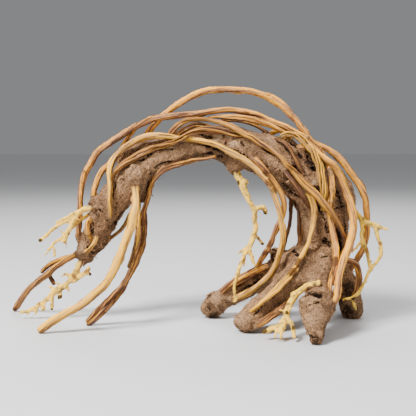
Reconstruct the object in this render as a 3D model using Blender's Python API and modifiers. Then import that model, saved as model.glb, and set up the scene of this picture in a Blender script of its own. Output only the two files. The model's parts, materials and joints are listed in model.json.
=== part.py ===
"""Driftwood arch for an aquarium: a felted trunk on spread toes, vines laid over it, pale coral twigs.

The arch is laid out on its front view. A spot is a column and a row of that view, 416 by 416 units,
and a depth in millimetres behind the plane of the arch (minus is nearer the eye). The line of sight
through the column and row, followed to that depth, gives the place in metres. Radii are in millimetres.
"""
import math

import bmesh
import bpy
import numpy as np
from mathutils import Vector
from mathutils.bvhtree import BVHTree

MM = 0.001

# The eye of the front view, from the origin on the floor under the middle of the arch
EYE = Vector((0.0137, -0.7296, 0.167))
PLANE_OF_ARCH = 0.0104
VIEW_MIDDLE = 208
VIEW_REACH = 760
HORIZON_ROW = 150

# Clearances and mesh steps, in millimetres
ROOT_GAP = 0.35
TWIG_ROOT_GAP = 0.6
REST_GAP = 0.45
VINE_GAP = 1.0
VINE_STEP = 10.0
SETTLE_STEP = 4.0
SETTLE_ROUNDS = 120
SPREAD = (0.12, 0.23, 0.3, 0.23, 0.12)
FAIRNESS = 0.12
SOCKET_REACH = 0.5

# A vine's middle stands at least this share of its radius over the floor
SOLE_HEIGHT = 0.55

# Fineness of the trunk and the twigs
TRUNK_VOXEL = 2.2
TRUNK_FACES = 5000
TWIG_VOXEL = 0.8
TWIG_FACES = 420
TWIG_FULLNESS = 1.2
LUMP_SIZE = 17.0
LUMP_HEIGHT = 4.2
CRUMB_SIZE = 6.0
CRUMB_HEIGHT = 1.6

TRUNK_LIMBS = {
    "arch": [
        (78, 260, 2, 6.5), (86, 250, 0, 11), (95, 236, 0, 14), (104, 217, -2, 15),
        (114, 199, -3, 15.5), (129, 181, -3, 16), (146, 165, -2, 14.5), (172, 154, 0, 11.5),
        (200, 148, 2, 12), (225, 147, 2, 14), (250, 151, 0, 18.5), (275, 159, -2, 22),
        (298, 172, -3, 23.5), (317, 190, -3, 24), (325, 212, -2, 23), (325, 235, 0, 22),
        (322, 253, 0, 21), (314, 266, -2, 18),
    ],
    "ridge": [
        (120, 166, 2, 8), (137, 153, 2, 8), (162, 145, 3, 8), (190, 137, 4, 8), (220, 135, 4, 9),
        (245, 138, 2, 10),
    ],
    "shoulder": [(318, 168, 6, 12), (332, 182, 5, 14), (343, 199, 4, 12), (345, 220, 2, 8)],
    "heel": [(94, 238, 2, 11), (105, 247, 2, 7)],
    "left_end": [(84, 252, 0, 8), (91, 263, -2, 4.5)],
    "left_collar": [(101, 203, -4, 9), (93, 206.5, -9, 7), (87, 208.5, -11, 5.5)],
    "lower_collar": [(84, 257, -1, 7), (80, 266, -3, 5.5), (77, 270, -3, 4.6)],
    "front_stub": [(140, 169, -8, 12), (137, 179, -13, 10.5), (136, 188, -16, 8)],
    "inner_stub": [(146, 173, 3, 10), (145, 190, 3, 8), (141, 203, 2, 5)],
    "hanging_stub": [(224, 152, 0, 10), (231, 162, -3, 8), (236, 171, -5, 6.5), (238, 176, -6, 5.5)],
    "left_toe": [
        (312, 258, 2, 17), (288, 265, 4, 14), (262, 279, 4, 11.5), (236, 292, 7, 10.5),
        (215, 304, 10, 11.5), (206, 315, 12, 10.5),
    ],
    "middle_toe": [
        (312, 260, -12, 18), (300, 274, -22, 15), (281, 290, -33, 12), (262, 306, -43, 10),
        (248, 319, -50, 10.5), (239, 329, -53, 11),
    ],
    "front_toe": [
        (322, 256, -8, 17), (320, 271, -24, 15), (319, 285, -40, 13), (318, 298, -58, 12),
        (317, 306, -70, 12),
    ],
    "front_foot": [
        (318, 298, -68, 13.5), (317, 302, -72, 17), (316.5, 310, -77, 15.5), (316, 319, -83, 12.5),
        (316, 329, -89, 9.5), (316, 338, -94, 7.5), (316, 345, -97, 7),
    ],
    "web": [
        (318, 262, -20, 15), (302, 264, -16, 16), (286, 262, -2, 12), (275, 255, 0, 9),
        (270, 256, 0, 6),
    ],
    "low_web": [(306, 272, -30, 14), (292, 282, -20, 12), (280, 280, -8, 10)],
    "right_toe": [
        (328, 262, 4, 14), (340, 277, 6, 11), (349, 289, 7, 11), (351, 303, 8, 11.5),
        (351, 317, 9, 11),
    ],
    "rear_toe": [(305, 256, 14, 16), (290, 268, 38, 13), (272, 286, 62, 10.5), (263, 303.5, 76, 9.5)],
    "rear_right_toe": [(326, 256, 14, 16), (338, 270, 34, 13), (347, 287, 52, 10), (350, 307, 62, 9.5)],
}

# Each vine: its finish, the lengths of its two roots in the trunk in millimetres (0 for a free end),
# and its spots
VINES = {
    "vine_top_loop": ("vine_orange", 14, 14, [
        (138, 151, 5, 2.6), (148, 135, 4, 2.9), (162, 117.5, 4, 3.0), (187, 98.5, 1, 3.0),
        (213, 90, 0, 2.9), (232, 89.5, 0, 2.9), (255, 93, 0, 3.0), (278, 103, 0, 3.2),
        (295, 120, 0, 3.2), (306, 136, -1, 3.1), (314, 148, -2, 3.0), (321, 160, 0, 2.8),
        (324, 172, 2, 2.4),
    ]),
    "vine_outer_right": ("vine_orange", 14, 14, [
        (270, 134, 12, 2.4), (282, 130, 13, 2.8), (296, 134, 11, 3.0), (310, 141, 9, 3.0),
        (324.6, 147.5, 7, 3.1), (335, 154.5, 6, 3.2), (344, 162, 5, 3.2), (349.6, 170.7, 4, 3.2),
        (356, 181, 4, 3.2), (362, 190, 4, 3.2), (365.7, 204, 5, 3.1), (366.8, 217, 6, 3.1),
        (367, 229, 6, 3.0), (366, 240, 6, 3.0), (361.5, 251, 6, 2.9), (356, 261, 6, 2.8),
        (350, 270, 7, 2.6),
    ]),
    "vine_outer_left": ("vine_orange", 14, 14, [
        (88, 246, 3, 2.4), (84, 237, 1, 2.8), (82, 225, 0, 2.9), (80.5, 209, -1, 3.0),
        (81, 188, -1, 3.0), (84, 177, -1, 3.1), (90.6, 163, -1, 3.1), (98, 151, -1, 3.1),
        (111, 142.3, -1, 3.1), (124, 133.6, -2, 3.1), (136.5, 126, -3, 3.1), (149, 121, -4, 3.2),
        (162, 118, -5, 3.2), (181, 115.7, -5, 3.1), (200, 114.3, -5, 2.9), (213, 112.6, -4, 2.8),
        (226, 110.3, -2, 2.7), (245, 111.8, -1, 2.7), (262, 117, -1, 2.7), (277, 124, -2, 2.8),
        (290, 129.5, -5, 2.8), (302, 136, -8, 2.8), (311, 143, -10, 2.8), (319, 152, -12, 2.7),
        (324.5, 164, -15, 2.7), (328.5, 178, -19, 2.7), (330, 191, -22, 2.7), (329, 203, -24, 2.7),
        (330, 217, -26, 2.7), (333, 231, -28, 2.7), (336.3, 246, -32, 2.7), (336, 261, -40, 2.6),
        (332, 274, -49, 2.5), (327, 287, -59, 2.5), (323, 299, -68, 2.4), (320, 308, -70, 2.2),
    ]),
    "vine_left_drop": ("vine_orange", 14, 0, [
        (96, 206, -6, 2.1), (94.6, 198.5, -10, 2.4), (95.5, 190, -9, 2.4), (97.5, 182, -7, 2.4),
        (101, 174, -4, 2.5), (108, 166, 0, 2.5), (114.5, 157, 2, 2.5), (121, 149, 3, 2.4),
        (127, 140, 3, 2.3), (132, 133, 3, 2.3), (137.5, 127.5, 3, 2.2), (144, 123.5, 3, 2.0),
        (152, 121, 3, 1.5),
    ]),
    "vine_left_stub": ("vine_orange", 8, 8, [
        (95, 216, -8, 1.9), (90, 220, -14, 2.2), (88.5, 226, -15, 2.3), (90, 232, -14, 2.2),
        (94, 240, -8, 1.9),
    ]),
    "vine_front_upper": ("vine_yellow", 14, 14, [
        (110.5, 219, -14, 1.4), (110, 210, -20, 2.0), (110, 200, -21, 2.3), (110.5, 188, -20, 2.6),
        (110.5, 176, -17, 2.8), (112, 165, -12, 2.9), (117, 156, -10, 2.9), (124, 149, -9, 2.9),
        (134, 141.3, -8, 2.9), (149, 136, -7, 2.9), (162, 135, -7, 2.8), (175, 137, -8, 2.7),
        (185, 138.8, -9, 2.6), (195, 139.7, -11, 2.6), (207, 141.6, -14, 2.6),
        (219.5, 146, -17, 2.6), (232, 152.7, -20, 2.7), (245, 160.5, -22, 2.7),
        (258, 171, -25, 2.7), (267, 181, -26, 2.7), (274, 194, -27, 2.7), (278.5, 207, -28, 2.7),
        (281.5, 219, -28, 2.7), (283, 231, -27, 2.6), (282, 244, -26, 2.6), (278, 258, -24, 2.6),
        (270, 274, -20, 2.5), (259, 285.5, -16, 2.5), (248, 292, -12, 2.4), (239, 296.5, -8, 2.3),
        (231, 300, -3, 2.0),
    ]),
    "vine_strip": ("vine_brown", 14, 14, [
        (112, 178, -12, 2.2), (117, 169, -17, 3.0), (126, 162.5, -17, 3.2),
        (136.5, 156.5, -16, 3.2), (149, 149.5, -15, 3.0), (162, 145.7, -14, 2.6),
        (172, 143.3, -14, 2.4), (182, 138, -16, 2.3), (194, 131.3, -13, 2.7),
        (207, 128.5, -12, 3.3), (219, 128.5, -12, 3.5), (232, 131, -13, 3.3),
        (243, 133.5, -13, 2.8), (252, 137, -9, 2.2),
    ]),
    "vine_diagonal": ("vine_brown", 14, 14, [
        (167, 141, -3, 2.2), (173, 131.5, -6, 2.5), (182, 124.5, -6, 2.6), (192, 119.8, -7, 2.6),
        (206.7, 121, -8, 2.7), (219, 124.6, -9, 2.8), (232, 130, -13, 2.8),
        (245.5, 136.5, -18, 2.7), (259, 142.5, -22, 2.6), (273, 151.5, -26, 2.7),
        (285, 163, -29, 2.9), (296, 174.5, -31, 3.1), (306, 185, -32, 3.2), (315.7, 195, -33, 3.2),
        (324.6, 204.6, -33, 3.1), (333.6, 215.5, -31, 3.0), (340, 226, -28, 2.9),
        (344, 238, -24, 2.8), (345, 248, -19, 2.6), (341, 257, -11, 2.3),
    ]),
    "vine_diagonal_under": ("vine_brown", 14, 14, [
        (281, 163, -17, 1.9), (287, 172, -25, 2.2), (293, 180.5, -29, 2.4), (300, 190, -30, 2.4),
        (307, 199, -29, 2.3), (313, 208, -21, 2.0),
    ]),
    "vine_short_high": ("vine_yellow", 14, 14, [
        (170, 145, -4, 2.0), (176, 135.5, -7, 2.3), (184, 128.5, -7, 2.4), (194, 125.2, -6, 2.4),
        (204, 126, -5, 2.3), (214, 129.5, -3, 2.1), (223, 135, 0, 1.9),
    ]),
    "vine_top_pair": ("vine_orange", 0, 14, [
        (206, 116.5, 1, 1.5), (219, 115, -5, 2.3), (231, 116, -7, 2.6), (242, 117.8, -7, 2.6),
        (256, 121, -7, 2.6), (267, 124.6, -8, 2.7), (277, 130, -10, 2.8), (286, 138, -11, 2.6),
        (293, 148, -9, 2.2),
    ]),
    "vine_top_thin": ("vine_orange", 0, 14, [
        (213, 122.5, 4, 1.3), (222, 121, 2, 1.7), (232, 120.3, 2, 1.8), (243, 122, 2, 1.8),
        (254, 127, 2, 1.7), (264, 134, 1, 1.6), (272, 142, 0, 1.5),
    ]),
    "vine_right_thick": ("vine_orange", 14, 14, [
        (297, 148, -11, 2.4), (304, 147, -16, 2.8), (313, 153, -19, 3.0), (321, 162, -18, 3.1),
        (329, 171, -17, 3.2), (337, 181.5, -18, 3.2), (344, 193, -20, 3.3),
        (349.6, 204.6, -22, 3.4), (353, 217, -25, 3.6), (352.3, 230.5, -29, 3.7),
        (349, 244, -33, 3.7), (345.5, 255, -38, 3.6), (341.5, 266, -46, 3.5),
        (337.5, 279, -55, 3.4), (334, 291, -64, 3.3), (331, 301, -70, 3.1), (327, 310, -74, 2.6),
    ]),
    "vine_bundle": ("vine_yellow", 14, 14, [
        (280, 139, -10, 1.9), (286, 133.5, -15, 2.4), (294, 134.5, -15, 2.6),
        (302, 139.5, -17, 2.6), (310, 148, -20, 2.6), (316, 160, -24, 2.6), (320, 174, -27, 2.6),
        (322.5, 187, -28, 2.6), (324, 199, -27, 2.5), (324, 209, -20, 2.1),
    ]),
    "vine_slope": ("vine_brown", 14, 14, [
        (275, 139, -15, 1.6), (281, 141, -20, 1.9), (288, 148, -23, 2.0), (294.5, 158, -25, 2.0),
        (300, 168.5, -26, 2.0), (304, 178, -21, 1.7),
    ]),
    "vine_to_middle_toe": ("vine_yellow", 14, 14, [
        (306, 189, -16, 2.0), (309.8, 198, -25, 2.3), (313, 207, -26, 2.3), (313.5, 218, -26, 2.3),
        (311.5, 231, -26, 2.2), (307.5, 246, -28, 2.1), (300, 261, -32, 2.1), (293, 272, -38, 2.0),
        (284, 282, -45, 2.0), (270.4, 295, -54, 2.0), (258, 306, -56, 2.0), (249, 313, -52, 1.7),
    ]),
    "vine_inner_front": ("vine_orange", 14, 14, [
        (251, 157, -14, 2.0), (260, 164, -22, 2.4), (270, 176, -21, 2.5), (278.5, 189, -20, 2.5),
        (283.5, 200.5, -20, 2.6), (283.5, 210, -20, 2.6), (280.5, 219, -18, 2.4),
        (276, 230, -15, 2.4), (271, 241, -12, 2.5), (265, 253, -8, 2.5), (259, 264, -4, 2.5),
        (256, 273, 0, 2.2),
    ]),
    "vine_on_left_toe": ("vine_orange", 14, 14, [
        (268, 266, 0, 2.6), (257, 268.5, -5, 3.0), (243, 276.5, -6, 3.1), (231, 284, -5, 3.0),
        (221, 291.5, -1, 2.5),
    ]),
    "vine_on_middle_toe": ("vine_orange", 14, 14, [
        (288, 302, -44, 2.6), (281, 309, -50, 3.1), (270, 315.5, -55, 3.2), (259, 321.5, -58, 3.0),
        (250, 325, -54, 2.4),
    ]),
    "vine_behind_thin": ("vine_brown", 14, 14, [
        (285, 181, 14, 1.6), (288, 190, 19, 1.9), (290.8, 200, 21, 1.9), (291, 213, 22, 1.9),
        (288.5, 230, 21, 1.9), (285, 242, 20, 1.8), (282, 252, 20, 1.7), (281, 262, 20, 1.6),
    ]),
    "vine_behind_thick": ("vine_brown", 14, 14, [
        (299, 192, 10, 2.0), (299.5, 203, 17, 2.3), (299.8, 217, 17, 2.3), (299.8, 231, 16, 2.2),
        (299.5, 243, 14, 2.1), (300, 253, 10, 1.9),
    ]),
    "vine_left_front_leg": ("vine_yellow", 26, 0, [
        (137, 176, -13, 4.0), (136.5, 186, -18, 4.4), (136.3, 198, -23, 4.7), (134, 212, -30, 4.6),
        (130, 231, -35, 4.6), (123.7, 246, -40, 4.5), (117, 262.5, -45, 4.4),
        (109.7, 277.5, -49, 4.3), (97, 291.5, -52, 4.2), (81.6, 304.5, -54, 4.0),
        (63.8, 315, -55, 3.9), (48.5, 324.5, -56, 3.8), (38.5, 332.5, -57, 3.3),
    ]),
    "vine_left_rear_leg": ("vine_orange", 14, 0, [
        (216, 156, -6, 1.8), (209, 157.5, -11, 2.0), (197.8, 159.8, -12, 2.2),
        (181, 163.5, -12, 2.4), (168.4, 167, -12, 2.6), (158.5, 172.5, -11, 2.7),
        (152.5, 180, -9, 2.7), (149.5, 191, -8, 2.7), (147, 201, -8, 2.8), (143.5, 211, -9, 3.0),
        (143, 225, -13, 3.2), (141.6, 238, -17, 3.3), (137.8, 254, -22, 3.4),
        (131, 271.5, -26, 3.4), (122.4, 287, -27, 3.4), (109.7, 301.5, -26, 3.4),
        (97, 315, -25, 3.3), (87, 324.5, -24, 2.9),
    ]),
    "vine_left_thin_leg": ("vine_yellow", 14, 0, [
        (139, 200, -4, 1.8), (139.2, 213, -12, 2.1), (138.4, 226, -18, 2.2), (136.4, 240, -25, 2.2),
        (133, 255, -30, 2.0), (128.5, 268, -33, 1.5),
    ]),
    "vine_far_left_leg": ("vine_brown", 14, 0, [
        (80, 257, -1, 2.4), (72, 259, 0, 3.1), (57.4, 266.7, 7, 3.1), (44.6, 276.7, 15, 3.1),
        (33, 285, 22, 3.1), (25.5, 293.5, 28, 3.1), (19, 304, 34, 3.0), (14.5, 311.5, 38, 2.6),
    ]),
    "vine_far_left_fork": ("vine_brown", 14, 0, [
        (77, 256, 6, 1.9), (67, 257.5, 8, 2.4), (56, 261.5, 11, 2.5), (47.5, 267, 15, 2.3),
        (42, 273, 19, 1.6),
    ]),
    "vine_far_left_prop": ("vine_brown", 0, 0, [
        (45.5, 271.5, 17, 2.0), (49, 277.5, 16, 2.3), (53, 284, 14, 2.1),
    ]),
    "vine_under_heel": ("vine_yellow", 14, 14, [
        (130, 213, -4, 1.5), (125, 224, -4, 1.9), (119, 231, -4, 1.9), (113, 236, -4, 1.8),
        (106, 241, -3, 1.6),
    ]),
    "vine_pale_peg": ("vine_yellow", 14, 14, [
        (97, 235, -12, 1.6), (95.8, 240, -17, 2.0), (93.5, 246.5, -18, 2.0), (89, 250, -16, 1.9),
        (85, 252, -9, 1.5),
    ]),
    "vine_right_toe": ("vine_orange", 14, 14, [
        (337, 261, -6, 2.6), (346, 258.5, -14, 3.0), (353.5, 262, -15, 3.2), (358.5, 272, -13, 3.2),
        (359.6, 282, -11, 3.0), (356, 292, -7, 2.6), (352, 299, 0, 2.2),
    ]),
    "vine_back_long": ("vine_orange", 14, 14, [
        (98, 228, 10, 2.4), (104, 214, 17, 2.8), (113, 198, 18, 3.0), (127, 180, 19, 3.0),
        (146, 164, 18, 3.0), (172, 152, 16, 3.0), (200, 146, 17, 2.9), (225, 146, 20, 2.9),
        (250, 151, 25, 2.9), (272, 160, 28, 3.0), (293, 174, 29, 3.0), (308, 191, 29, 3.0),
        (315, 212, 28, 3.0), (314, 235, 27, 2.9), (305, 254, 34, 2.8), (290, 268, 52, 2.7),
        (275, 283, 67, 2.4), (268, 291, 70, 2.0),
    ]),
    "vine_back_upper": ("vine_yellow", 14, 14, [
        (142, 154, 9, 2.0), (158, 145, 14, 2.5), (178, 139, 15, 2.6), (205, 134, 15, 2.6),
        (232, 134, 18, 2.6), (258, 138, 22, 2.7), (282, 147, 25, 2.8), (302, 160, 28, 2.8),
        (318, 178, 30, 2.8), (327, 200, 30, 2.8), (332, 222, 28, 2.7), (334, 244, 28, 2.6),
        (339, 260, 40, 2.5), (345, 276, 56, 2.4), (348, 288, 62, 2.0),
    ]),
    "vine_back_low": ("vine_brown", 14, 14, [
        (205, 152, 10, 1.9), (225, 155, 18, 2.2), (248, 164, 23, 2.3), (268, 177, 26, 2.4),
        (288, 194, 28, 2.4), (300, 214, 27, 2.4), (303, 236, 26, 2.3), (298, 254, 34, 2.2),
        (290, 262, 40, 1.8),
    ]),
    "vine_back_short": ("vine_brown", 14, 14, [
        (108, 212, 10, 2.0), (117, 206, 17, 2.4), (130, 190, 19, 2.5), (145, 176, 18, 2.5),
        (160, 166, 13, 2.0),
    ]),
}

# Each twig: its branches, every one a run of spots. The first branch is rooted in the trunk.
TWIGS = {
    "twig_left_upper": [
        [
            (99, 208, -8, 3.4), (92.7, 207.5, -10, 3.4), (86, 209, -12, 3.3), (79, 212, -13, 3.4),
            (73.5, 220, -14, 3.0), (69.4, 228.5, -15, 2.8), (66, 235, -16, 3.4),
        ],
        [
            (80, 211, -13, 2.6), (71, 214.5, -15, 1.8), (62.5, 219, -17, 1.2),
            (55.5, 222.7, -18, 1.1),
        ],
        [
            (74, 217, -14, 2.2), (64, 221.5, -16, 1.9), (57, 226.5, -17, 1.9), (49, 233, -18, 2.1),
            (41.5, 239.5, -19, 2.0), (38, 241.3, -19, 1.3),
        ],
        [(66, 235, -16, 2.4), (57, 240.5, -17, 1.6), (51, 247, -18, 1.3), (44.5, 256, -19, 1.2)],
        [(53, 245, -18, 1.3), (55, 251, -18, 1.2), (54, 258, -18, 1.1)],
        [(66, 236, -16, 2.6), (62, 243.5, -16, 2.9)],
        [(65.5, 238, -15, 1.6), (66.5, 243, -15, 1.2), (67, 249, -15, 1.0)],
        [(96, 212, -4, 2.3), (87, 216, -6, 2.1), (78, 222.5, -9, 1.9), (69, 231, -14, 2.0)],
        [(67, 234, -15, 1.5), (60, 230.5, -15, 1.0)],
    ],
    "twig_left_lower": [
        [
            (82, 259, -2, 3.4), (79, 266, -3, 3.2), (75.5, 272, -3, 3.2), (71.4, 278.8, -2, 3.2),
            (66.3, 284, -1, 3.3), (60.2, 288, 0, 3.4), (54, 292, 0, 3.2), (49, 297, 1, 2.8),
            (41, 303.5, 2, 2.3), (33, 308.3, 3, 2.0), (26, 311.8, 3, 2.2), (18.5, 312.5, 3, 1.4),
        ],
        [(28, 311, 3, 1.9), (27, 316, 2, 1.4)],
        [(38.5, 306, 2, 1.8), (35.5, 315.5, 1, 1.2)],
        [(45.5, 301, 1, 1.9), (41.5, 312.5, 0, 1.5)],
        [(53, 294, 0, 2.2), (51.5, 303, -2, 2.0), (51, 311.5, -3, 1.6)],
        [(60, 290, 0, 2.2), (60.5, 299, -2, 2.0)],
        [(67.5, 285, -1, 2.0), (69.5, 292.5, -2, 1.1)],
        [(62, 286, 0, 1.9), (55, 281.5, 1, 1.1)],
        [(56, 290, 1, 1.8), (48, 286.5, 2, 1.1)],
        [(71, 277, -2, 2.2), (66, 273.5, -2, 1.9), (61, 276.5, -1, 1.1)],
        [(90, 266, -4, 2.4), (86, 271.5, -5, 2.5), (79.6, 277, -4, 2.4), (72.5, 282.5, -2, 2.3)],
        [(86, 270.5, -5, 2.1), (91.3, 275, -6, 1.7)],
    ],
    "twig_hanging": [
        [
            (236, 170, -5, 4.0), (239, 178, -6, 4.0), (243, 186, -7, 3.6), (246, 195, -8, 3.0),
            (251, 204, -9, 3.0), (255, 211, -10, 3.3), (254.5, 219, -11, 2.8), (256, 228, -12, 2.9),
            (253, 238, -14, 2.9), (249, 247, -16, 2.9),
        ],
        [(243, 183, -7, 3.2), (248, 180, -8, 3.3)],
        [
            (255, 209.5, -10, 2.8), (262, 207.7, -9, 2.6), (266, 210.5, -8, 2.2),
            (265.5, 215.5, -8, 1.8),
        ],
        [(254.5, 233, -13, 2.0), (260, 240, -11, 1.8), (263.5, 245.5, -10, 1.5)],
        [(249, 246, -16, 2.0), (243, 250.7, -17, 1.6), (237.5, 253.5, -18, 1.2)],
        [
            (249, 247, -16, 2.6), (244.5, 256, -18, 2.3), (240, 266, -21, 2.1),
            (236.5, 275, -23, 2.1), (234.7, 284, -24, 1.6), (234.7, 292, -24, 1.4),
            (236.5, 299, -24, 1.9), (233.5, 303.5, -24, 1.1),
        ],
        [
            (249, 247, -16, 2.4), (252.5, 256, -17, 2.0), (254, 263, -17, 1.8),
            (257, 268.5, -17, 1.5),
        ],
        [(246, 254, -17, 1.6), (245, 261, -15, 1.2), (244, 267, -14, 1.1)],
    ],
    "twig_front": [
        [
            (318, 284, -55, 2.8), (312, 285, -57, 3.1), (306, 286.5, -58, 3.4),
            (298, 292.5, -62, 3.6), (291, 302, -68, 3.6), (287, 311, -74, 3.5),
            (285.5, 320, -79, 3.4),
        ],
        [(312, 285, -57, 2.6), (321, 284, -61, 2.7)],
        [
            (285, 321, -79, 3.0), (277, 326.3, -80, 2.8), (269.5, 330, -80, 2.7),
            (263.5, 332, -80, 2.9),
        ],
        [(277, 326.5, -81, 2.0), (276, 333, -85, 1.4), (275, 339.5, -89, 1.1)],
        [
            (285, 320, -79, 2.6), (282, 330.5, -85, 2.1), (281.5, 336, -88, 1.6),
            (280.7, 341, -91, 1.3),
        ],
        [
            (286, 316, -77, 2.6), (290.5, 322.5, -81, 2.4), (293, 330, -85, 2.0),
            (294.5, 339.5, -90, 1.5),
        ],
        [(287, 311.5, -74, 2.0), (278.5, 311, -75, 1.1)],
    ],
    "twig_right": [
        [
            (348, 201, 0, 2.8), (354, 209, -3, 2.6), (358, 215, -5, 2.8), (362, 219.5, -7, 3.2),
            (367, 222.5, -8, 3.1), (374, 225, -8, 2.9), (379, 227.3, -8, 2.3), (384, 228, -8, 1.7),
            (389, 229.5, -8, 1.5),
        ],
        [
            (361.5, 219, -7, 3.0), (362.2, 229, -9, 2.6), (362.2, 238, -10, 2.6),
            (364.5, 246, -12, 2.5), (367.5, 254, -13, 2.4), (369.3, 262, -14, 2.2),
            (370.7, 268, -15, 2.3),
        ],
        [
            (375, 225.5, -8, 2.5), (377, 234, -9, 2.4), (379, 241, -10, 2.3),
            (381.7, 249, -11, 2.2), (380.5, 257.5, -12, 2.1), (376, 263.5, -14, 2.0),
            (370.7, 269, -15, 2.2), (367.5, 276, -16, 2.0), (364, 283.5, -18, 1.9),
            (359.5, 291, -19, 1.9), (354, 297, -19, 2.1),
        ],
        [(380, 243, -10, 1.5), (384, 242.3, -10, 1.0)],
        [(355, 297, -19, 1.8), (348.5, 298.3, -19, 1.5), (341.5, 300, -19, 1.2)],
        [(353.5, 298, -19, 1.7), (354.5, 305, -19, 1.4), (356.2, 311, -19, 1.1)],
        [(361.7, 240, -10, 1.9), (356, 248, -9, 1.6), (351, 253, -8, 1.3)],
    ],
}

FINISHES = {
    "bark": ((0.27, 0.165, 0.10), 0.95),
    "vine_orange": ((0.45, 0.21, 0.075), 0.6),
    "vine_yellow": ((0.62, 0.38, 0.155), 0.6),
    "vine_brown": ((0.31, 0.155, 0.07), 0.7),
    "twig": ((0.76, 0.58, 0.29), 0.65),
}


def clear_scene():
    for obj in list(bpy.data.objects):
        bpy.data.objects.remove(obj, do_unlink=True)


def new_collection(name):
    collection = bpy.data.collections.new(name)
    bpy.context.scene.collection.children.link(collection)
    return collection


def finish(name):
    """The plain finish of that name, made once."""
    material = bpy.data.materials.get(name)
    if material is None:
        colour, roughness = FINISHES[name]
        material = bpy.data.materials.new(name)
        material.use_nodes = True
        shader = material.node_tree.nodes["Principled BSDF"]
        shader.inputs["Base Color"].default_value = (*colour, 1)
        shader.inputs["Roughness"].default_value = roughness
        shader.inputs["Metallic"].default_value = 0
    return material


def spot(column, row, depth):
    """The place, in metres, seen at that column and row, at that depth behind the arch's plane."""
    pitch = math.atan((VIEW_MIDDLE - HORIZON_ROW) / VIEW_REACH)
    right = (column - VIEW_MIDDLE) / VIEW_REACH
    up = (VIEW_MIDDLE - row) / VIEW_REACH
    sight = Vector((
        right,
        math.cos(pitch) + up * math.sin(pitch),
        up * math.cos(pitch) - math.sin(pitch),
    ))
    return EYE + sight * ((PLANE_OF_ARCH + depth * MM - EYE.y) / sight.y)


def stations(spots):
    """Spots as rows of x, y, z and radius, all in millimetres."""
    return np.array([[*(spot(c, r, d) / MM), radius] for c, r, d, radius in spots])


def smooth_line(rows, step):
    """A Catmull-Rom line through the rows, resampled at an even step along its length."""
    ends = np.vstack([2 * rows[0] - rows[1], rows, 2 * rows[-1] - rows[-2]])
    dense = []
    for a, b, c, d in zip(ends, ends[1:], ends[2:], ends[3:]):
        for t in np.linspace(0, 1, 12, endpoint=False):
            bend = (2 * a - 5 * b + 4 * c - d) * t**2 + (3 * b - a - 3 * c + d) * t**3
            dense.append(0.5 * (2 * b + (c - a) * t + bend))
    dense.append(rows[-1])
    return even_line(np.array(dense), step)


def even_line(rows, step):
    """The rows taken again at an even step."""
    lengths = np.concatenate([[0], np.cumsum(np.linalg.norm(np.diff(rows[:, :3], axis=0), axis=1))])
    count = max(3, int(round(lengths[-1] / step)) + 1)
    at = np.linspace(0, lengths[-1], count)
    return np.column_stack([np.interp(at, lengths, column) for column in rows.T])


def link_mesh(name, mesh, collection):
    obj = bpy.data.objects.new(name, mesh)
    collection.objects.link(obj)
    return obj


def evaluated_mesh(obj):
    """The object's mesh with its modifiers applied."""
    bpy.context.view_layer.update()
    graph = bpy.context.evaluated_depsgraph_get()
    return bpy.data.meshes.new_from_object(obj.evaluated_get(graph))


def weld(mesh, distance=0.01):
    """Joins a tube's caps to its sides and turns its faces outwards."""
    bm = bmesh.new()
    bm.from_mesh(mesh)
    bmesh.ops.remove_doubles(bm, verts=bm.verts, dist=distance * MM)
    bmesh.ops.recalc_face_normals(bm, faces=bm.faces)
    bm.to_mesh(mesh)
    bm.free()


def tube_mesh(name, rows, sides_level=1, extra=0.0):
    """A round tube along rows of millimetre stations, as a welded mesh in metres."""
    curve = bpy.data.curves.new(name, "CURVE")
    curve.dimensions = "3D"
    curve.bevel_depth = 1.0
    curve.bevel_resolution = sides_level
    curve.use_fill_caps = True
    curve.twist_mode = "MINIMUM"
    spline = curve.splines.new("POLY")
    spline.points.add(len(rows) - 1)
    for point, (x, y, z, radius) in zip(spline.points, rows):
        point.co = (x * MM, y * MM, z * MM, 1)
        point.radius = (radius + extra) * MM
    holder = link_mesh(name, curve, bpy.context.scene.collection)
    mesh = evaluated_mesh(holder)
    bpy.data.objects.remove(holder)
    bpy.data.curves.remove(curve)
    weld(mesh)
    return mesh


def joined(meshes, name):
    """One mesh that holds all of these, still as separate shells."""
    bm = bmesh.new()
    for mesh in meshes:
        bm.from_mesh(mesh)
        bpy.data.meshes.remove(mesh)
    mesh = bpy.data.meshes.new(name)
    bm.to_mesh(mesh)
    bm.free()
    return mesh


def add_lumps(obj, size, height):
    """Raises soft lumps of that size and height, in millimetres."""
    texture = bpy.data.textures.new(f"{obj.name}_lumps", "CLOUDS")
    texture.noise_scale = size * MM
    texture.noise_depth = 1
    lumps = obj.modifiers.new("lumps", "DISPLACE")
    lumps.texture = texture
    lumps.texture_coords = "LOCAL"
    lumps.strength = height * MM
    lumps.mid_level = 0.5


def fuse(obj, voxel, smoothing, faces, lumps=()):
    """Fuses a mesh's shells in one skin, smooths it, raises lumps and thins it to that many faces."""
    remesh = obj.modifiers.new("fuse", "REMESH")
    remesh.mode = "VOXEL"
    remesh.voxel_size = voxel * MM
    smooth = obj.modifiers.new("smooth", "SMOOTH")
    smooth.factor = 0.5
    smooth.iterations = smoothing
    for size, height in lumps:
        add_lumps(obj, size, height)
    full = evaluated_mesh(obj)
    full.calc_loop_triangles()
    thin = obj.modifiers.new("thin", "DECIMATE")
    thin.ratio = min(1.0, faces / len(full.loop_triangles))
    thin.use_collapse_triangulate = True
    bpy.data.meshes.remove(full)
    mesh = evaluated_mesh(obj)
    obj.modifiers.clear()
    obj.data = mesh


def rounded_limb(spots):
    """A limb's tube with its two ends drawn in, so that it fuses as a round knob."""
    rows = smooth_line(stations(spots), 5.0)
    rows[0, 3] *= 0.75
    rows[-1, 3] *= 0.75
    return rows


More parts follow.
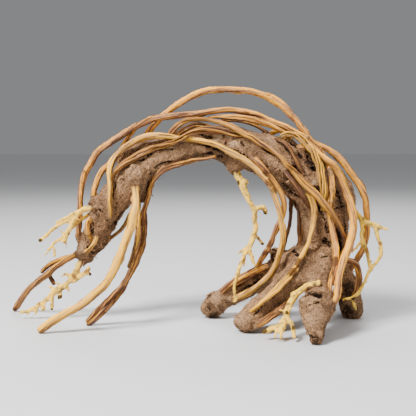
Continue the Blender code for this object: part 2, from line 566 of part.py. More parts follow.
def cut_at_floor(mesh):
    """Cuts away what reaches below the floor and closes each cut with a flat sole."""
    bm = bmesh.new()
    bm.from_mesh(mesh)
    everything = list(bm.verts) + list(bm.edges) + list(bm.faces)
    bmesh.ops.bisect_plane(
        bm, geom=everything, plane_co=(0, 0, 0), plane_no=(0, 0, 1), dist=0.02 * MM, clear_inner=True)
    rims = [edge for edge in bm.edges if edge.is_boundary]
    bmesh.ops.holes_fill(bm, edges=rims, sides=0)
    bmesh.ops.recalc_face_normals(bm, faces=bm.faces)
    bmesh.ops.triangulate(bm, faces=[face for face in bm.faces if len(face.verts) > 4])
    bm.to_mesh(mesh)
    bm.free()


def make_trunk(collection):
    shells = [tube_mesh(name, rounded_limb(spots), 4) for name, spots in TRUNK_LIMBS.items()]
    trunk = link_mesh("trunk", joined(shells, "trunk"), collection)
    lumps = ((LUMP_SIZE, LUMP_HEIGHT), (CRUMB_SIZE, CRUMB_HEIGHT))
    fuse(trunk, TRUNK_VOXEL, 4, TRUNK_FACES, lumps)
    cut_at_floor(trunk.data)
    trunk.data.materials.append(finish("bark"))
    return trunk


def twig_rows(branches, step):
    rows = [smooth_line(stations(branch), step) for branch in branches]
    for row in rows:
        row[:, 3] *= TWIG_FULLNESS
    return rows


def fused_branches(name, branches, collection, extra=0.0):
    """A twig's branches fused in one skin, all longer and thicker by that much."""
    lines = [lengthened(rows, extra) for rows in twig_rows(branches, 4.0)]
    shells = [tube_mesh(f"{name}_{i}", rows, 2, extra) for i, rows in enumerate(lines)]
    twig = link_mesh(name, joined(shells, name), collection)
    fuse(twig, TWIG_VOXEL, 1, TWIG_FACES)
    return twig


def make_twig(name, branches, collection):
    twig = fused_branches(name, branches, collection)
    twig.data.materials.append(finish("twig"))


def root_weights(length, count, first_root, last_root):
    """How firmly the trunk pushes each station away: not at all deep in a root, fully beyond it."""
    at = np.linspace(0, length, count)
    weights = np.ones(count)
    if first_root:
        weights *= np.clip(2 * at / first_root - 1, 0, 1)
    if last_root:
        weights *= np.clip(2 * (length - at) / last_root - 1, 0, 1)
    return weights


def spread_along(moves, owner):
    """Shares each move with the next stations on the same vine, so that a vine bends without a kink."""
    spread = np.empty_like(moves)
    for number in np.unique(owner):
        run = moves[owner == number]
        padded = np.pad(run, ((2, 2), (0, 0)), mode="edge")
        spread[owner == number] = sum(share * padded[i:i + len(run)] for i, share in enumerate(SPREAD))
    return spread


def settle(lines, weights, twig_points, trunk_tree):
    """Moves the vines' lines apart and off the twigs and the trunk, mostly in depth."""
    owner = np.concatenate([[i] * len(line) for i, line in enumerate(lines)])
    free = np.concatenate(weights)
    points = np.vstack([line[:, :3] for line in lines])
    radii = np.concatenate([line[:, 3] for line in lines])
    depth_first = np.array([0.45, 1.0, 0.45])
    start = points.copy()
    for _ in range(SETTLE_ROUNDS):
        pushes = np.zeros_like(points)
        apart = points[:, None] - points[None]
        distance = np.linalg.norm(apart, axis=2) + 1e-6
        short = radii[:, None] + radii[None] + VINE_GAP - distance
        short[(owner[:, None] == owner[None]) | (short < 0)] = 0
        way = apart * depth_first
        way /= np.linalg.norm(way, axis=2, keepdims=True) + 1e-6
        pushes += 0.5 * way[np.arange(len(points)), short.argmax(axis=1)] * short.max(axis=1)[:, None]
        apart = points[:, None] - twig_points[None, :, :3]
        distance = np.linalg.norm(apart, axis=2) + 1e-6
        short = np.clip(radii[:, None] + twig_points[None, :, 3] + VINE_GAP + 0.3 - distance, 0, None)
        nearest = short.argmax(axis=1)
        way = apart[np.arange(len(points)), nearest] * depth_first
        way /= np.linalg.norm(way, axis=1, keepdims=True) + 1e-6
        pushes += way * short.max(axis=1)[:, None]
        for i, (point, radius, weight) in enumerate(zip(points, radii, free)):
            if weight == 0:
                continue
            place, normal, _, _ = trunk_tree.find_nearest(Vector(point) * MM)
            outwards = (Vector(point) * MM - place).dot(normal) / MM
            missing = radius + REST_GAP - outwards
            if missing > 0:
                pushes[i] += np.array(normal) * min(missing, 3.0) * weight * 0.6
        points += spread_along(pushes, owner)
        moved = points - start
        points = start + (1 - FAIRNESS) * moved + FAIRNESS * spread_along(moved, owner)
        points[:, 2] = np.maximum(points[:, 2], SOLE_HEIGHT * radii)
    for number, line in enumerate(lines):
        line[:, :3] = points[owner == number]


def settled_vines(trunk):
    """The vines' lines once they lie clear of each other, of the twigs and of the trunk."""
    bm = bmesh.new()
    bm.from_mesh(trunk.data)
    tree = BVHTree.FromBMesh(bm)
    bm.free()
    lines, weights = [], []
    for _, first_root, last_root, spots in VINES.values():
        line = smooth_line(stations(spots), SETTLE_STEP)
        length = np.linalg.norm(np.diff(line[:, :3], axis=0), axis=1).sum()
        lines.append(line)
        weights.append(root_weights(length, len(line), first_root, last_root))
    twig_lines = [twig_rows(branches, SETTLE_STEP) for branches in TWIGS.values()]
    twig_points = np.vstack([row for rows in twig_lines for row in rows])
    settle(lines, weights, twig_points, tree)
    return dict(zip(VINES, lines))


def lengthened(rows, reach):
    """The line carried on by that much at both ends."""
    first = rows[0] + (rows[0] - rows[1]) / np.linalg.norm((rows[0] - rows[1])[:3]) * reach
    last = rows[-1] + (rows[-1] - rows[-2]) / np.linalg.norm((rows[-1] - rows[-2])[:3]) * reach
    first[3], last[3] = rows[0, 3], rows[-1, 3]
    return np.vstack([first, rows[1:-1], last])


def flatten_on_floor(mesh):
    """Presses what would lie below the floor flat on it, as an end worn by standing."""
    for vertex in mesh.vertices:
        vertex.co.z = max(vertex.co.z, 0)


def make_vine(name, rows, collection):
    kind = VINES[name][0]
    mesh = tube_mesh(name, rows)
    flatten_on_floor(mesh)
    mesh.materials.append(finish(kind))
    mesh.shade_smooth()
    mesh.set_sharp_from_angle(angle=math.radians(60))
    return link_mesh(name, mesh, collection)


def keep_largest_body(mesh):
    """Drops the loose scraps that cutting may leave."""
    bm = bmesh.new()
    bm.from_mesh(mesh)
    unseen = set(bm.faces)
    bodies = []
    while unseen:
        body, edge_of_search = set(), [unseen.pop()]
        while edge_of_search:
            face = edge_of_search.pop()
            body.add(face)
            for edge in face.edges:
                for other in edge.link_faces:
                    if other in unseen:
                        unseen.discard(other)
                        edge_of_search.append(other)
        bodies.append(body)
    bodies.sort(key=len)
    scraps = [face for body in bodies[:-1] for face in body]
    bmesh.ops.delete(bm, geom=scraps, context="FACES")
    bm.to_mesh(mesh)
    bm.free()


def cut_sockets(trunk, vine_rows, cutters):
    """Cuts the holes and grooves that vines and twigs stand in, a little wider than they are."""
    for name, rows in vine_rows.items():
        root = tube_mesh(name, lengthened(rows, SOCKET_REACH), extra=ROOT_GAP)
        link_mesh(f"{name}_socket", root, cutters)
    for name, branches in TWIGS.items():
        fused_branches(f"{name}_socket", branches, cutters, TWIG_ROOT_GAP)
    for cutter in cutters.objects:
        cutter.hide_render = True
        cutter.display_type = "WIRE"
        cut = trunk.modifiers.new("socket", "BOOLEAN")
        cut.operation = "DIFFERENCE"
        cut.object = cutter
    mesh = evaluated_mesh(trunk)
    trunk.modifiers.clear()
    trunk.data = mesh
    keep_largest_body(trunk.data)
    for cutter in list(cutters.objects):
        bpy.data.objects.remove(cutter)


def main():
    clear_scene()
    driftwood = new_collection("driftwood_arch")
    cutters = new_collection("cutters")
    trunk = make_trunk(driftwood)
    for name, branches in TWIGS.items():
        make_twig(name, branches, driftwood)
    vine_rows = {name: even_line(line, VINE_STEP) for name, line in settled_vines(trunk).items()}
    for name, rows in vine_rows.items():
        make_vine(name, rows, driftwood)
    cut_sockets(trunk, vine_rows, cutters)


main()
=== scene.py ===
"""Dresses the solids of a driftwood arch in felted bark, peeled vines and pale coral twigs."""

import json
import math

import bmesh
import bpy
import numpy as np
from mathutils import Matrix, Vector


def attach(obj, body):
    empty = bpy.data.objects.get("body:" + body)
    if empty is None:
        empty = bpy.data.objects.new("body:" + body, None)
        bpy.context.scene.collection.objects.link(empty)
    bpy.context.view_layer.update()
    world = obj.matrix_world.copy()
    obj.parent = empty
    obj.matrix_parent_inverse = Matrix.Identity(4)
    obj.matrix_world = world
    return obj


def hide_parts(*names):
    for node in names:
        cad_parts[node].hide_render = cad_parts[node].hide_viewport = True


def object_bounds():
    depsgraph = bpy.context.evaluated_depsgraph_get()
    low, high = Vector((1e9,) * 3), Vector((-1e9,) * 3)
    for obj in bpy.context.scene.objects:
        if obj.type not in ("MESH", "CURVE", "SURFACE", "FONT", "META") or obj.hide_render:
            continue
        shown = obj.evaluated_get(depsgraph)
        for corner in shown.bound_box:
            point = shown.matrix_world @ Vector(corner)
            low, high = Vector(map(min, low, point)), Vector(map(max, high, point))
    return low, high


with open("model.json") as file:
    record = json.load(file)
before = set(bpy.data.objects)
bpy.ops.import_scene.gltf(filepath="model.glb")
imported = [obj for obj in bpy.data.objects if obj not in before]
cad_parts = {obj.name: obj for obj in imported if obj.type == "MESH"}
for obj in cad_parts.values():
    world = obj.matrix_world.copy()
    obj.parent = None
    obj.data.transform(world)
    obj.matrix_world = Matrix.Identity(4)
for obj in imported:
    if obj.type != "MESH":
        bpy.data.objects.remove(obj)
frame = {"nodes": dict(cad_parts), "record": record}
cad_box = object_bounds()

bl_info = {
    "name": "Driftwood arch",
    "version": (1, 0, 0),
    "blender": (4, 5, 0),
    "location": "3D View > Sidebar > Driftwood",
    "description": "Dresses the solids of a driftwood arch in felted bark, peeled vines and pale twigs",
    "category": "Object",
}

BODY = "root"
MM = 0.001

# How near two points of a solid are taken as one, and how many corners a vine's cut end has
WELD = 0.002 * MM
CUT_END_SIDES = 6

VINE_NODES = sorted(name for name in frame["nodes"] if name.startswith("vine_"))
TWIG_NODES = sorted(name for name in frame["nodes"] if name.startswith("twig_"))
SLOTS = {part["node"]: part["material_slot"] for part in frame["record"]["subparts"]}

# Bark patches: column, row, reach in mm, tint (minus dark, plus pale, over 1 bare wood), height in mm
# The dark tints are mostly painted shade, in gaps, under parts and on faces turned from the light; a few
# are the darker wood of knots and broken ends.
BARK_PATCHES = {
    "knot by the left twig": (97, 213, 4, -0.8, 0),
    "shade under the front leg's knob": (117, 222, 8, -0.4, -2.0),
    "foot's broken end": (315, 339, 8, -0.75, 0),
    "gap over the foot": (312, 292, 8, -0.9, 0),
    "left toe's broken face": (206, 308, 7, -0.85, -2.2),
    "left toe's lower corner": (213, 317, 7, -0.85, -0.5),
    "left toe's underside": (228, 308, 9, -0.6, 0),
    "middle toe's underside": (262, 312, 7, -0.6, 0),
    "right toe": (349, 290, 15, -0.88, 0),
    "right toe's left side": (340, 300, 9, -0.85, 0),
    "right toe's tip": (347, 311, 10, -0.85, 0),
    "column between the vines": (339, 236, 10, -0.85, 0),
    "column under the bundle": (340, 205, 10, -0.7, 0),
    "column's base": (326, 243, 8, -0.6, 0),
    "underside of the crown": (291, 190, 10, -0.7, -1.5),
    "crown's shaded front": (264, 168, 14, -0.55, 0),
    "shoulder's shaded front": (285, 174, 13, -0.55, 0),
    "column's shaded left": (306, 215, 10, -0.45, 0),
    "crown's shaded middle": (246, 146, 9, -0.45, 0),
    "shoulder's upper hollow": (299, 147, 7, -0.7, -1.5),
    "shoulder's middle hollow": (312, 163, 10, -0.85, -2.5),
    "shoulder's lower hollow": (298, 168, 6, -0.8, -1.5),
    "column's hollow": (317, 191, 7, -0.95, -2.0),
    "top of the web": (274, 256, 9, -0.7, -1.5),
    "web under the vines": (297, 250, 9, -0.4, 0),
    "left toe between its vines": (256, 275, 11, -0.65, 0),
    "foot's face": (314, 317, 15, 0.7, 1.5),
    "middle toe's end": (242, 322, 11, 0.6, 0.8),
    "left toe's ridge": (216, 299, 9, 0.85, 1.5),
    "left toe's top": (229, 294, 9, 0.7, 0.6),
    "left toe's face": (224, 308, 9, 0.35, 0.8),
    "knob over the front leg": (134, 174, 12, 0.45, 4.5),
    "crown's grey plate": (217, 137, 8, 1.8, 1.2),
    "crown's right plate": (231, 135, 7, 1.5, 1.0),
    "crown's small plate": (233, 144, 5, 1.5, 1.0),
    "bare wood in the column": (315, 183, 4, 1.9, 0),
    "crown's face": (268, 138, 13, 0.5, 0),
    "web's face": (318, 266, 12, -0.15, 0),
    "left end": (82, 248, 9, 0.5, 1.0),
    "felt beside the front twig": (312, 281, 6, 0.6, 1.0),
    "tuft under the bundle": (285, 134, 6, 0.9, 1.5),
    "column beside the bundle": (334, 190, 9, -0.6, 0),
    "shoulder behind the twig": (350, 190, 9, 0.4, 0),
    "crown's left face": (172, 155, 16, 0.25, 0),
}

# Crevices in the bark, sunk and painted near-black as painted shade: width in mm, then columns and rows
# in the photograph
BARK_CREVICES = {
    "under the strip": (2.6, (120, 168), (123, 166), (130, 162), (138, 160), (145, 159)),
    "beside the strip": (2.2, (147, 156), (151, 154), (158, 150), (166, 148), (172, 149)),
    "over the inner vine": (2.2, (155, 168), (163, 163), (172, 161)),
    "by the upright vine": (1.6, (119, 172), (117, 180), (114, 190), (112, 198)),
    "behind the knob": (2.4, (151, 172), (148, 180), (147, 190)),
    "arc of the left knot": (2.4, (93, 214), (95, 211), (99, 210), (102, 212)),
    "pit of the left end": (1.8, (106, 220), (107, 221)),
    "by the left stub": (2.8, (93, 224), (92, 235)),
    "mouth of the drop": (2.8, (84, 233), (85, 239)),
    "fold of the left end": (1.8, (88, 247), (92, 253), (98, 251), (104, 255)),
    "under the knob": (3.2, (128, 209), (121, 213), (114, 232), (111, 238)),
    "crown, under the strip": (3.0, (202, 135), (207, 136), (212, 138)),
    "crown, under the front vine": (3.4, (200, 143), (212, 147), (224, 152), (233, 156)),
    "crown's underside": (3.0, (203, 155), (210, 153), (216, 156), (222, 157)),
    "crown, over the front vine": (1.7, (234, 149), (239, 151), (244, 155), (250, 160), (257, 166)),
    "hole at the crown": (2.6, (226, 141), (226, 144)),
    "crown's hollow": (3.0, (241, 142), (243, 146)),
    "crown's pit": (1.8, (258, 163), (263, 166), (268, 167)),
    "along the diagonal": (2.4, (262, 147), (268, 151), (276, 155), (283, 160)),
    "below the diagonal": (2.4, (279, 162), (284, 168), (289, 171)),
    "left of the short vine": (3.2, (276, 134), (283, 142), (289, 150), (293, 158), (294, 164)),
    "pocket of the short vine": (5.0, (294, 164), (298, 172)),
    "shoulder's upper pit": (4.4, (292, 143), (297, 147)),
    "shoulder's lower pit": (3.6, (299, 152), (301, 157)),
    "shoulder's pocket": (7.0, (310, 156), (315, 162), (317, 169)),
    "under the second diagonal": (2.6, (287, 176), (290, 181)),
    "column's pocket": (6.5, (314, 189), (318, 193), (320, 197)),
    "beside the bundle": (5.2, (332, 182), (336, 190), (340, 196), (343, 204)),
    "under the crown": (4.0, (283, 184), (291, 194), (300, 198)),
    "left of the front vines": (2.6, (318, 206), (322, 214), (326, 222), (328, 232)),
    "between the column's vines": (6.0, (336, 230), (340, 240), (341, 250), (338, 262)),
    "by the thick vine": (5.4, (345, 213), (346, 235)),
    "across the column": (2.0, (334, 209), (340, 207), (346, 206)),
    "column's foot": (6.0, (324, 241), (329, 245)),
    "web's upper fold": (3.6, (268, 248), (282, 251), (292, 250), (299, 256)),
    "web's left pits": (3.2, (266, 257), (272, 260), (275, 263)),
    "web's line": (1.5, (321, 257), (326, 256), (331, 254)),
    "over the foot": (6.0, (300, 295.5), (306, 294.5), (313, 294), (320, 294.5)),
    "foot's seam": (1.4, (302, 309), (307, 306), (313, 304), (319, 302)),
    "foot's broken rim": (2.6, (307, 335), (313, 337), (322, 340)),
    "left toe's trough": (4.0, (236, 287), (245, 280), (255, 274), (265, 268)),
    "left toe's fold": (2.2, (229, 295), (240, 290), (252, 285), (266, 276)),
    "left toe's line": (1.6, (205, 299), (209, 297), (214, 292)),
    "middle toe's notch": (1.8, (254, 315), (260, 310), (263, 306)),
    "middle toe's underside": (2.2, (252, 324), (258, 323), (262, 325), (267, 322)),
    "middle toe's end": (1.5, (234, 326), (238, 327), (242, 330)),
}

# Pale ridges on the bark, written in the same way
BARK_RIDGES = {
    "foot's lip": (3.4, (300, 300.5), (306, 299), (313, 298.5), (320, 300)),
    "foot's chip": (3.2, (301, 331), (307, 333)),
    "foot's left edge": (2.2, (300, 302), (302, 312), (305, 322)),
    "left toe's upper chip": (3.4, (203, 300), (208, 296), (215, 293)),
    "left toe's rim": (2.6, (211, 300), (216, 306), (221, 312)),
    "crown's plate, upper edge": (2.2, (213, 134), (219, 132), (226, 134)),
    "crown's plate, lower edge": (2.0, (214, 142), (220, 144), (225, 142)),
    "knot's upper rim": (2.0, (92, 208), (97, 206), (103, 208)),
}

# How pale each vine is, from 0 to 1, where it isn't the usual half
VINE_TONES = {
    "vine_bundle": 0.8,
    "vine_diagonal": 0.7,
    "vine_diagonal_under": 0.1,
    "vine_far_left_fork": 0.65,
    "vine_far_left_leg": 0.6,
    "vine_far_left_prop": 0.0,
    "vine_behind_thick": 0.15,
    "vine_behind_thin": 0.15,
    "vine_front_upper": 0.7,
    "vine_inner_front": 0.68,
    "vine_left_drop": 0.65,
    "vine_left_front_leg": 1.0,
    "vine_left_rear_leg": 0.3,
    "vine_left_stub": 0.65,
    "vine_left_thin_leg": 0.35,
    "vine_on_middle_toe": 0.25,
    "vine_on_left_toe": 0.42,
    "vine_outer_right": 0.65,
    "vine_pale_peg": 0.35,
    "vine_right_thick": 0.95,
    "vine_right_toe": 0.4,
    "vine_short_high": 0.25,
    "vine_slope": 0.28,
    "vine_strip": 0.6,
    "vine_to_middle_toe": 0.7,
    "vine_top_loop": 0.85,
    "vine_under_heel": 0.25,
}

# How thick a vine looks beside its solid, at its upper and at its lower end
VINE_GIRTHS = {
    "vine_bundle": (1.0, 1.3),
    "vine_left_front_leg": (0.9, 0.92),
    "vine_left_rear_leg": (0.9, 1.4),
    "vine_on_left_toe": (1.25, 1.25),
    "vine_to_middle_toe": (1.2, 1.6),
}

# Flakes of dark rind left on the vines, written as the bark's patches are
VINE_RINDS = {
    "front vine, upper flake": (265, 174, 4, 1.0, 0.3),
    "front vine, middle flake": (270, 182, 5, 1.0, 0.3),
    "front vine, lower flake": (275, 190, 5, 1.0, 0.3),
    "inner vine, upper flake": (268, 243, 5, 1.0, 0.3),
    "inner vine, lower flake": (264, 252, 4, 1.0, 0.3),
    "toe vine, upper flake": (297, 262, 5, 1.0, 0.3),
    "toe vine, lower flake": (292, 272, 5, 1.0, 0.3),
    "thick vine's flake": (336, 261, 5, 1.0, 0.3),
    "crown's first flake": (191, 128, 5, 1.0, 0.3),
    "crown's second flake": (181, 130, 4, 1.0, 0.3),
    "strip's right flake": (150, 143, 5, 1.0, 0.3),
    "strip's left flake": (138, 148, 5, 1.0, 0.3),
    "outer vine's flake": (84, 172, 3, 0.6, 0.2),
    "far left vine's tip": (14, 310, 4, 1.0, 0.0),
    "rear leg's side": (143, 222, 4, 0.8, 0.2),
    "diagonal's flake": (290, 168, 4, 0.8, 0.3),
}

# Dark knots, broken ends, swellings and necks of the twigs, written in the same way
TWIG_KNOTS = {
    "front twig's cut end, lower edge": (319, 288, 2.0, 1.0, 0.0),
    "front twig's cut end, left edge": (314, 285, 1.8, 1.0, 0.0),
    "front twig's button": (319, 283, 4.0, 0.0, 1.2),
    "front twig's neck": (308, 285, 4.5, 0.0, -1.4),
    "front twig's bump": (294, 294, 3.5, 0.0, 1.5),
    "front twig's stem": (287, 313, 2.0, 1.0, 0.3),
    "front twig's left finger": (265, 330, 2.8, 1.0, 0.6),
    "front twig's right finger": (293, 328, 2.0, 1.0, 0.3),
    "right twig's hand": (354, 298, 1.8, 1.0, 0.3),
    "hanging twig's root": (238, 183, 2.4, 1.0, 0.5),
    "hanging twig's hook": (264, 213, 2.2, 1.0, 0.5),
    "hanging twig's lower spur": (262, 245, 2.2, 1.0, 0.3),
    "upper left twig's tip": (40, 240, 2.4, 1.0, 0.3),
    "upper left twig's root": (92, 212, 2.2, 1.0, 0.3),
    "lower left twig's stub": (91, 274, 2.8, 1.0, 0.5),
    "lower left twig's dark stub": (60, 298, 3.4, 1.0, 0.8),
    "lower left twig's end": (51, 311, 2.4, 1.0, 0.3),
}

# The vines that are several strands grown together
VINE_STRANDS = {
    "vine_back_long": 2,
    "vine_back_upper": 3,
    "vine_bundle": 7,
    "vine_diagonal": 2,
    "vine_left_rear_leg": 2,
    "vine_short_high": 3,
    "vine_slope": 2,
    "vine_strip": 4,
    "vine_to_middle_toe": 2,
    "vine_top_pair": 2,
}

# The deep, the dull and the pale shade of a peeled wood, as shares of its red, green and blue
WOOD_SHADES = ((0.20, 0.22, 0.55), (0.56, 0.59, 1.05), (1.48, 1.50, 0.42))

# Middle of the arch, across and up, in metres, and what a radian round it counts for in the flutes
ARCH_MIDDLE = (0.03, 0.085)
ARCH_RADIAN = 25 * MM

# How the bark's lumps and the edges of the marks are warped: the scale and the reach of the noise
LUMP_WARP = (70.0, 14 * MM)
LINE_WARP = (210.0, 4.5 * MM)
PATCH_WARP = (120.0, 14 * MM)
SPOT_WARP = (300.0, 3 * MM)

# Seeds of what is scattered, and of each strand's turn, size and tone
FIBRE_SEED = 11
ROOTLET_SEED = 23
HAIR_SEED = 5
TURN_SEED = 3
SIZE_SEED = 5
TONE_SEED = 7

# How fast a vine's line and its strands stray, and how fast the strands and the grain wind, to a metre
LINE_STRAY = 46.0
STRAND_STRAY = 60.0
STRAND_WIND = 38.0
GRAIN_WIND = 22.0
GRAIN_LENGTH = 40.0

# What the lamps point at in metres, then each lamp's place and side in metres and its share of the power
LAMP_AIM = (0, 0, 0.1)
LAMPS = {
    "key_lamp": ((-0.75, -0.75, 1.25), 0.5, 1.0),
    "fill_lamp": ((0.9, -0.9, 0.8), 1.2, 0.12),
    "back_lamp": ((0.2, 1.1, 1.5), 1.0, 0.35),
}

# The eye of the photograph, in the frame's own metres, how far it sees, and its lens
EYE = (0.0137, -0.7296, 0.167)
EYE_REACH = 2
EYE_PITCH = 4.364
EYE_LENS = 65.77
PHOTO_SIDE = 416
FILM_WIDTH = 36.0

# What each geometry tree is given besides its geometry: the input's name and its kind
BARK_INPUTS = {
    "Lump Height": "Float",
    "Flute Height": "Float",
    "Crumb Height": "Float",
    "Crack Depth": "Float",
    "Collar Height": "Float",
    "Vines": "Object",
    "Lines": "Object",
    "Patches": "Object",
    "Box Low": "Vector",
    "Box High": "Vector",
    "Finish": "Material",
}
SCATTER_INPUTS = {
    "Count": "Int",
    "Length": "Float",
    "Width": "Float",
    "Seed": "Int",
    "Box Low": "Vector",
    "Box High": "Vector",
    "Finish": "Material",
}
TWIG_INPUTS = {
    "Trunk": "Object",
    "Knots": "Object",
    "Leanness": "Float",
    "Crook": "Float",
    "Box Low": "Vector",
    "Box High": "Vector",
    "Finish": "Material",
}
BUD_INPUTS = {
    "Count": "Int",
    "Length": "Float",
    "Seed": "Int",
}
VINE_INPUTS = {
    "Trunk": "Object",
    "Rinds": "Object",
    "Ring Step": "Float",
    "Sides": "Int",
    "Wander": "Float",
    "Strands": "Int",
    "Grain Depth": "Float",
    "Knot Height": "Float",
    "Seed": "Float",
    "Tone": "Float",
    "Box Low": "Vector",
    "Box High": "Vector",
    "Finish": "Material",
}


class Builder:
    """Adds nodes to a tree. An input given as another node's output is linked, any other is set."""

    def __init__(self, tree):
        self.tree = tree

    def add(self, kind, inputs=None, **settings):
        node = self.tree.nodes.new(kind)
        for name, value in settings.items():
            setattr(node, name, value)
        for key, value in (inputs or {}).items():
            socket = node.inputs[key]
            if isinstance(value, bpy.types.NodeSocket):
                self.link(value, socket)
            else:
                socket.default_value = value
        return node

    def math(self, operation, first, second=0.0, clamp=False):
        inputs = {0: first, 1: second}
        return self.add("ShaderNodeMath", inputs, operation=operation, use_clamp=clamp).outputs[0]

    def plus(self, first, second):
        return self.math("ADD", first, second)

    def minus(self, first, second):
        return self.math("SUBTRACT", first, second)

    def times(self, first, second):
        return self.math("MULTIPLY", first, second)

    def over(self, first, second):
        return self.math("DIVIDE", first, second)

    def most(self, first, second):
        return self.math("MAXIMUM", first, second)

    def vector(self, operation, first, second):
        return self.add("ShaderNodeVectorMath", {0: first, 1: second}, operation=operation).outputs[0]

    def scaled(self, vector, factor):
        inputs = {0: vector, "Scale": factor}
        return self.add("ShaderNodeVectorMath", inputs, operation="SCALE").outputs[0]

    def stretched(self, vector, shares):
        """The vector with each of its parts multiplied by its own share."""
        return self.vector("MULTIPLY", vector, shares)

    def split(self, vector):
        return self.add("ShaderNodeSeparateXYZ", {0: vector}).outputs

    def whole(self, x, y, z):
        """The vector made of three numbers."""
        return self.add("ShaderNodeCombineXYZ", {0: x, 1: y, 2: z}).outputs[0]

    def link(self, output, socket):
        self.tree.links.new(output, socket)

    def object_place(self):
        """The place on the object, for a material."""
        return self.add("ShaderNodeTexCoord").outputs["Object"]

    def position(self):
        """The place of a point, for a geometry tree."""
        return self.add("GeometryNodeInputPosition").outputs[0]

    def normal(self):
        return self.add("GeometryNodeInputNormal").outputs[0]

    def shape_of(self, helper):
        """The geometry of another object."""
        return self.add("GeometryNodeObjectInfo", {"Object": helper}).outputs["Geometry"]

    def attribute(self, name):
        """A number stored on the mesh, for a material."""
        return self.add("ShaderNodeAttribute", attribute_name=name).outputs["Fac"]

    def named(self, name):
        """A number stored on the geometry, for a geometry tree."""
        return self.add("GeometryNodeInputNamedAttribute", {"Name": name}, data_type="FLOAT").outputs[0]

    def distance(self, first, second):
        inputs = {0: first, 1: second}
        return self.add("ShaderNodeVectorMath", inputs, operation="DISTANCE").outputs["Value"]

    def noise(self, vector, scale, detail=2.0, roughness=0.5):
        inputs = {"Vector": vector, "Scale": scale, "Detail": detail, "Roughness": roughness}
        return self.add("ShaderNodeTexNoise", inputs).outputs[0]

    def swing(self, vector, scale, detail=2.0, roughness=0.5):
        """A noise that goes as far below 0 as above it."""
        return self.minus(self.noise(vector, scale, detail, roughness), 0.5)

    def stray(self, vector, scale, reach, detail=2.0):
        """A soft random offset, about half that reach at most in each direction."""
        inputs = {"Vector": vector, "Scale": scale, "Detail": detail}
        clouds = self.add("ShaderNodeTexNoise", inputs).outputs["Color"]
        return self.scaled(self.vector("SUBTRACT", clouds, (0.5, 0.5, 0.5)), reach)

    def remap(self, value, low, high, to_low=0.0, to_high=1.0):
        inputs = {"Value": value, "From Min": low, "From Max": high, "To Min": to_low, "To Max": to_high}
        return self.add("ShaderNodeMapRange", inputs, interpolation_type="SMOOTHSTEP").outputs[0]

    def blend(self, factor, first, second):
        """The first colour at 0, the second at 1."""
        inputs = {0: factor, 6: first, 7: second}
        return self.add("ShaderNodeMix", inputs, data_type="RGBA").outputs[2]

    def ramp(self, factor, stops):
        node = self.add("ShaderNodeValToRGB", {"Fac": factor})
        elements = node.color_ramp.elements
        while len(elements) < len(stops):
            elements.new(0.5)
        for element, (place, colour) in zip(elements, stops):
            element.position = place
            element.color = (*colour[:3], 1)
        return node.outputs[0]


class TrunkSettings(bpy.types.PropertyGroup):
    """Sizes and colours of the felted bark and what lies on it"""

    skin_step: bpy.props.FloatProperty(
        name="Skin step",
        description="Spacing of the points on the bark",
        default=1.15 * MM, subtype="DISTANCE",
    )
    lump_height: bpy.props.FloatProperty(
        name="Lump height",
        description="Height of the bark's soft lumps",
        default=2.6 * MM, subtype="DISTANCE",
    )
    crumb_height: bpy.props.FloatProperty(
        name="Crumb height",
        description="Height of the bark's small crumbs",
        default=1.5 * MM, subtype="DISTANCE",
    )
    flute_height: bpy.props.FloatProperty(
        name="Flute height",
        description="Height of the ridges along the arch",
        default=3.4 * MM, subtype="DISTANCE",
    )
    crack_depth: bpy.props.FloatProperty(
        name="Crack depth",
        description="Depth of the small cracks and pits",
        default=1.5 * MM, subtype="DISTANCE",
    )
    collar_height: bpy.props.FloatProperty(
        name="Collar height",
        description="How far the felt climbs a vine",
        default=1.3 * MM, subtype="DISTANCE",
    )
    fibre_count: bpy.props.IntProperty(
        name="Fibres",
        description="How many loose fibres lie on the bark",
        default=9000,
    )
    fibre_length: bpy.props.FloatProperty(
        name="Fibre length",
        description="Length of a usual loose fibre",
        default=3.4 * MM, subtype="DISTANCE",
    )
    fibre_width: bpy.props.FloatProperty(
        name="Fibre width",
        description="Thickness of a loose fibre",
        default=0.36 * MM, subtype="DISTANCE",
    )
    rootlet_count: bpy.props.IntProperty(
        name="Rootlets",
        description="How many broken rootlets stand on the bark",
        default=60,
    )
    rootlet_length: bpy.props.FloatProperty(
        name="Rootlet length",
        description="Length of a usual broken rootlet",
        default=4.6 * MM, subtype="DISTANCE",
    )
    hair_count: bpy.props.IntProperty(
        name="Root hairs",
        description="How many long fine hairs curl over the crown",
        default=60,
    )
    hair_length: bpy.props.FloatProperty(
        name="Hair length",
        description="Length of a usual root hair",
        default=17.0 * MM, subtype="DISTANCE",
    )
    light_bark: bpy.props.FloatVectorProperty(
        name="Light bark",
        description="Colour of the dry, raised felt",
        default=(0.37, 0.202, 0.098), subtype="COLOR",
    )
    dusty_bark: bpy.props.FloatVectorProperty(
        name="Dusty bark",
        description="Colour of the palest fibres",
        default=(0.59, 0.36, 0.195), subtype="COLOR",
    )
    dark_bark: bpy.props.FloatVectorProperty(
        name="Dark bark",
        description="Colour of the felt in shade",
        default=(0.12, 0.056, 0.025), subtype="COLOR",
    )
    bare_wood: bpy.props.FloatVectorProperty(
        name="Bare wood",
        description="Colour of the bared, greyed wood",
        default=(0.62, 0.43, 0.25), subtype="COLOR",
    )
    # Painted shade: the near-black put deep in the cracks, pits, low spots and crevices
    crack_shade: bpy.props.FloatVectorProperty(
        name="Crack colour",
        description="Colour deep in the cracks",
        default=(0.022, 0.010, 0.006), subtype="COLOR",
    )


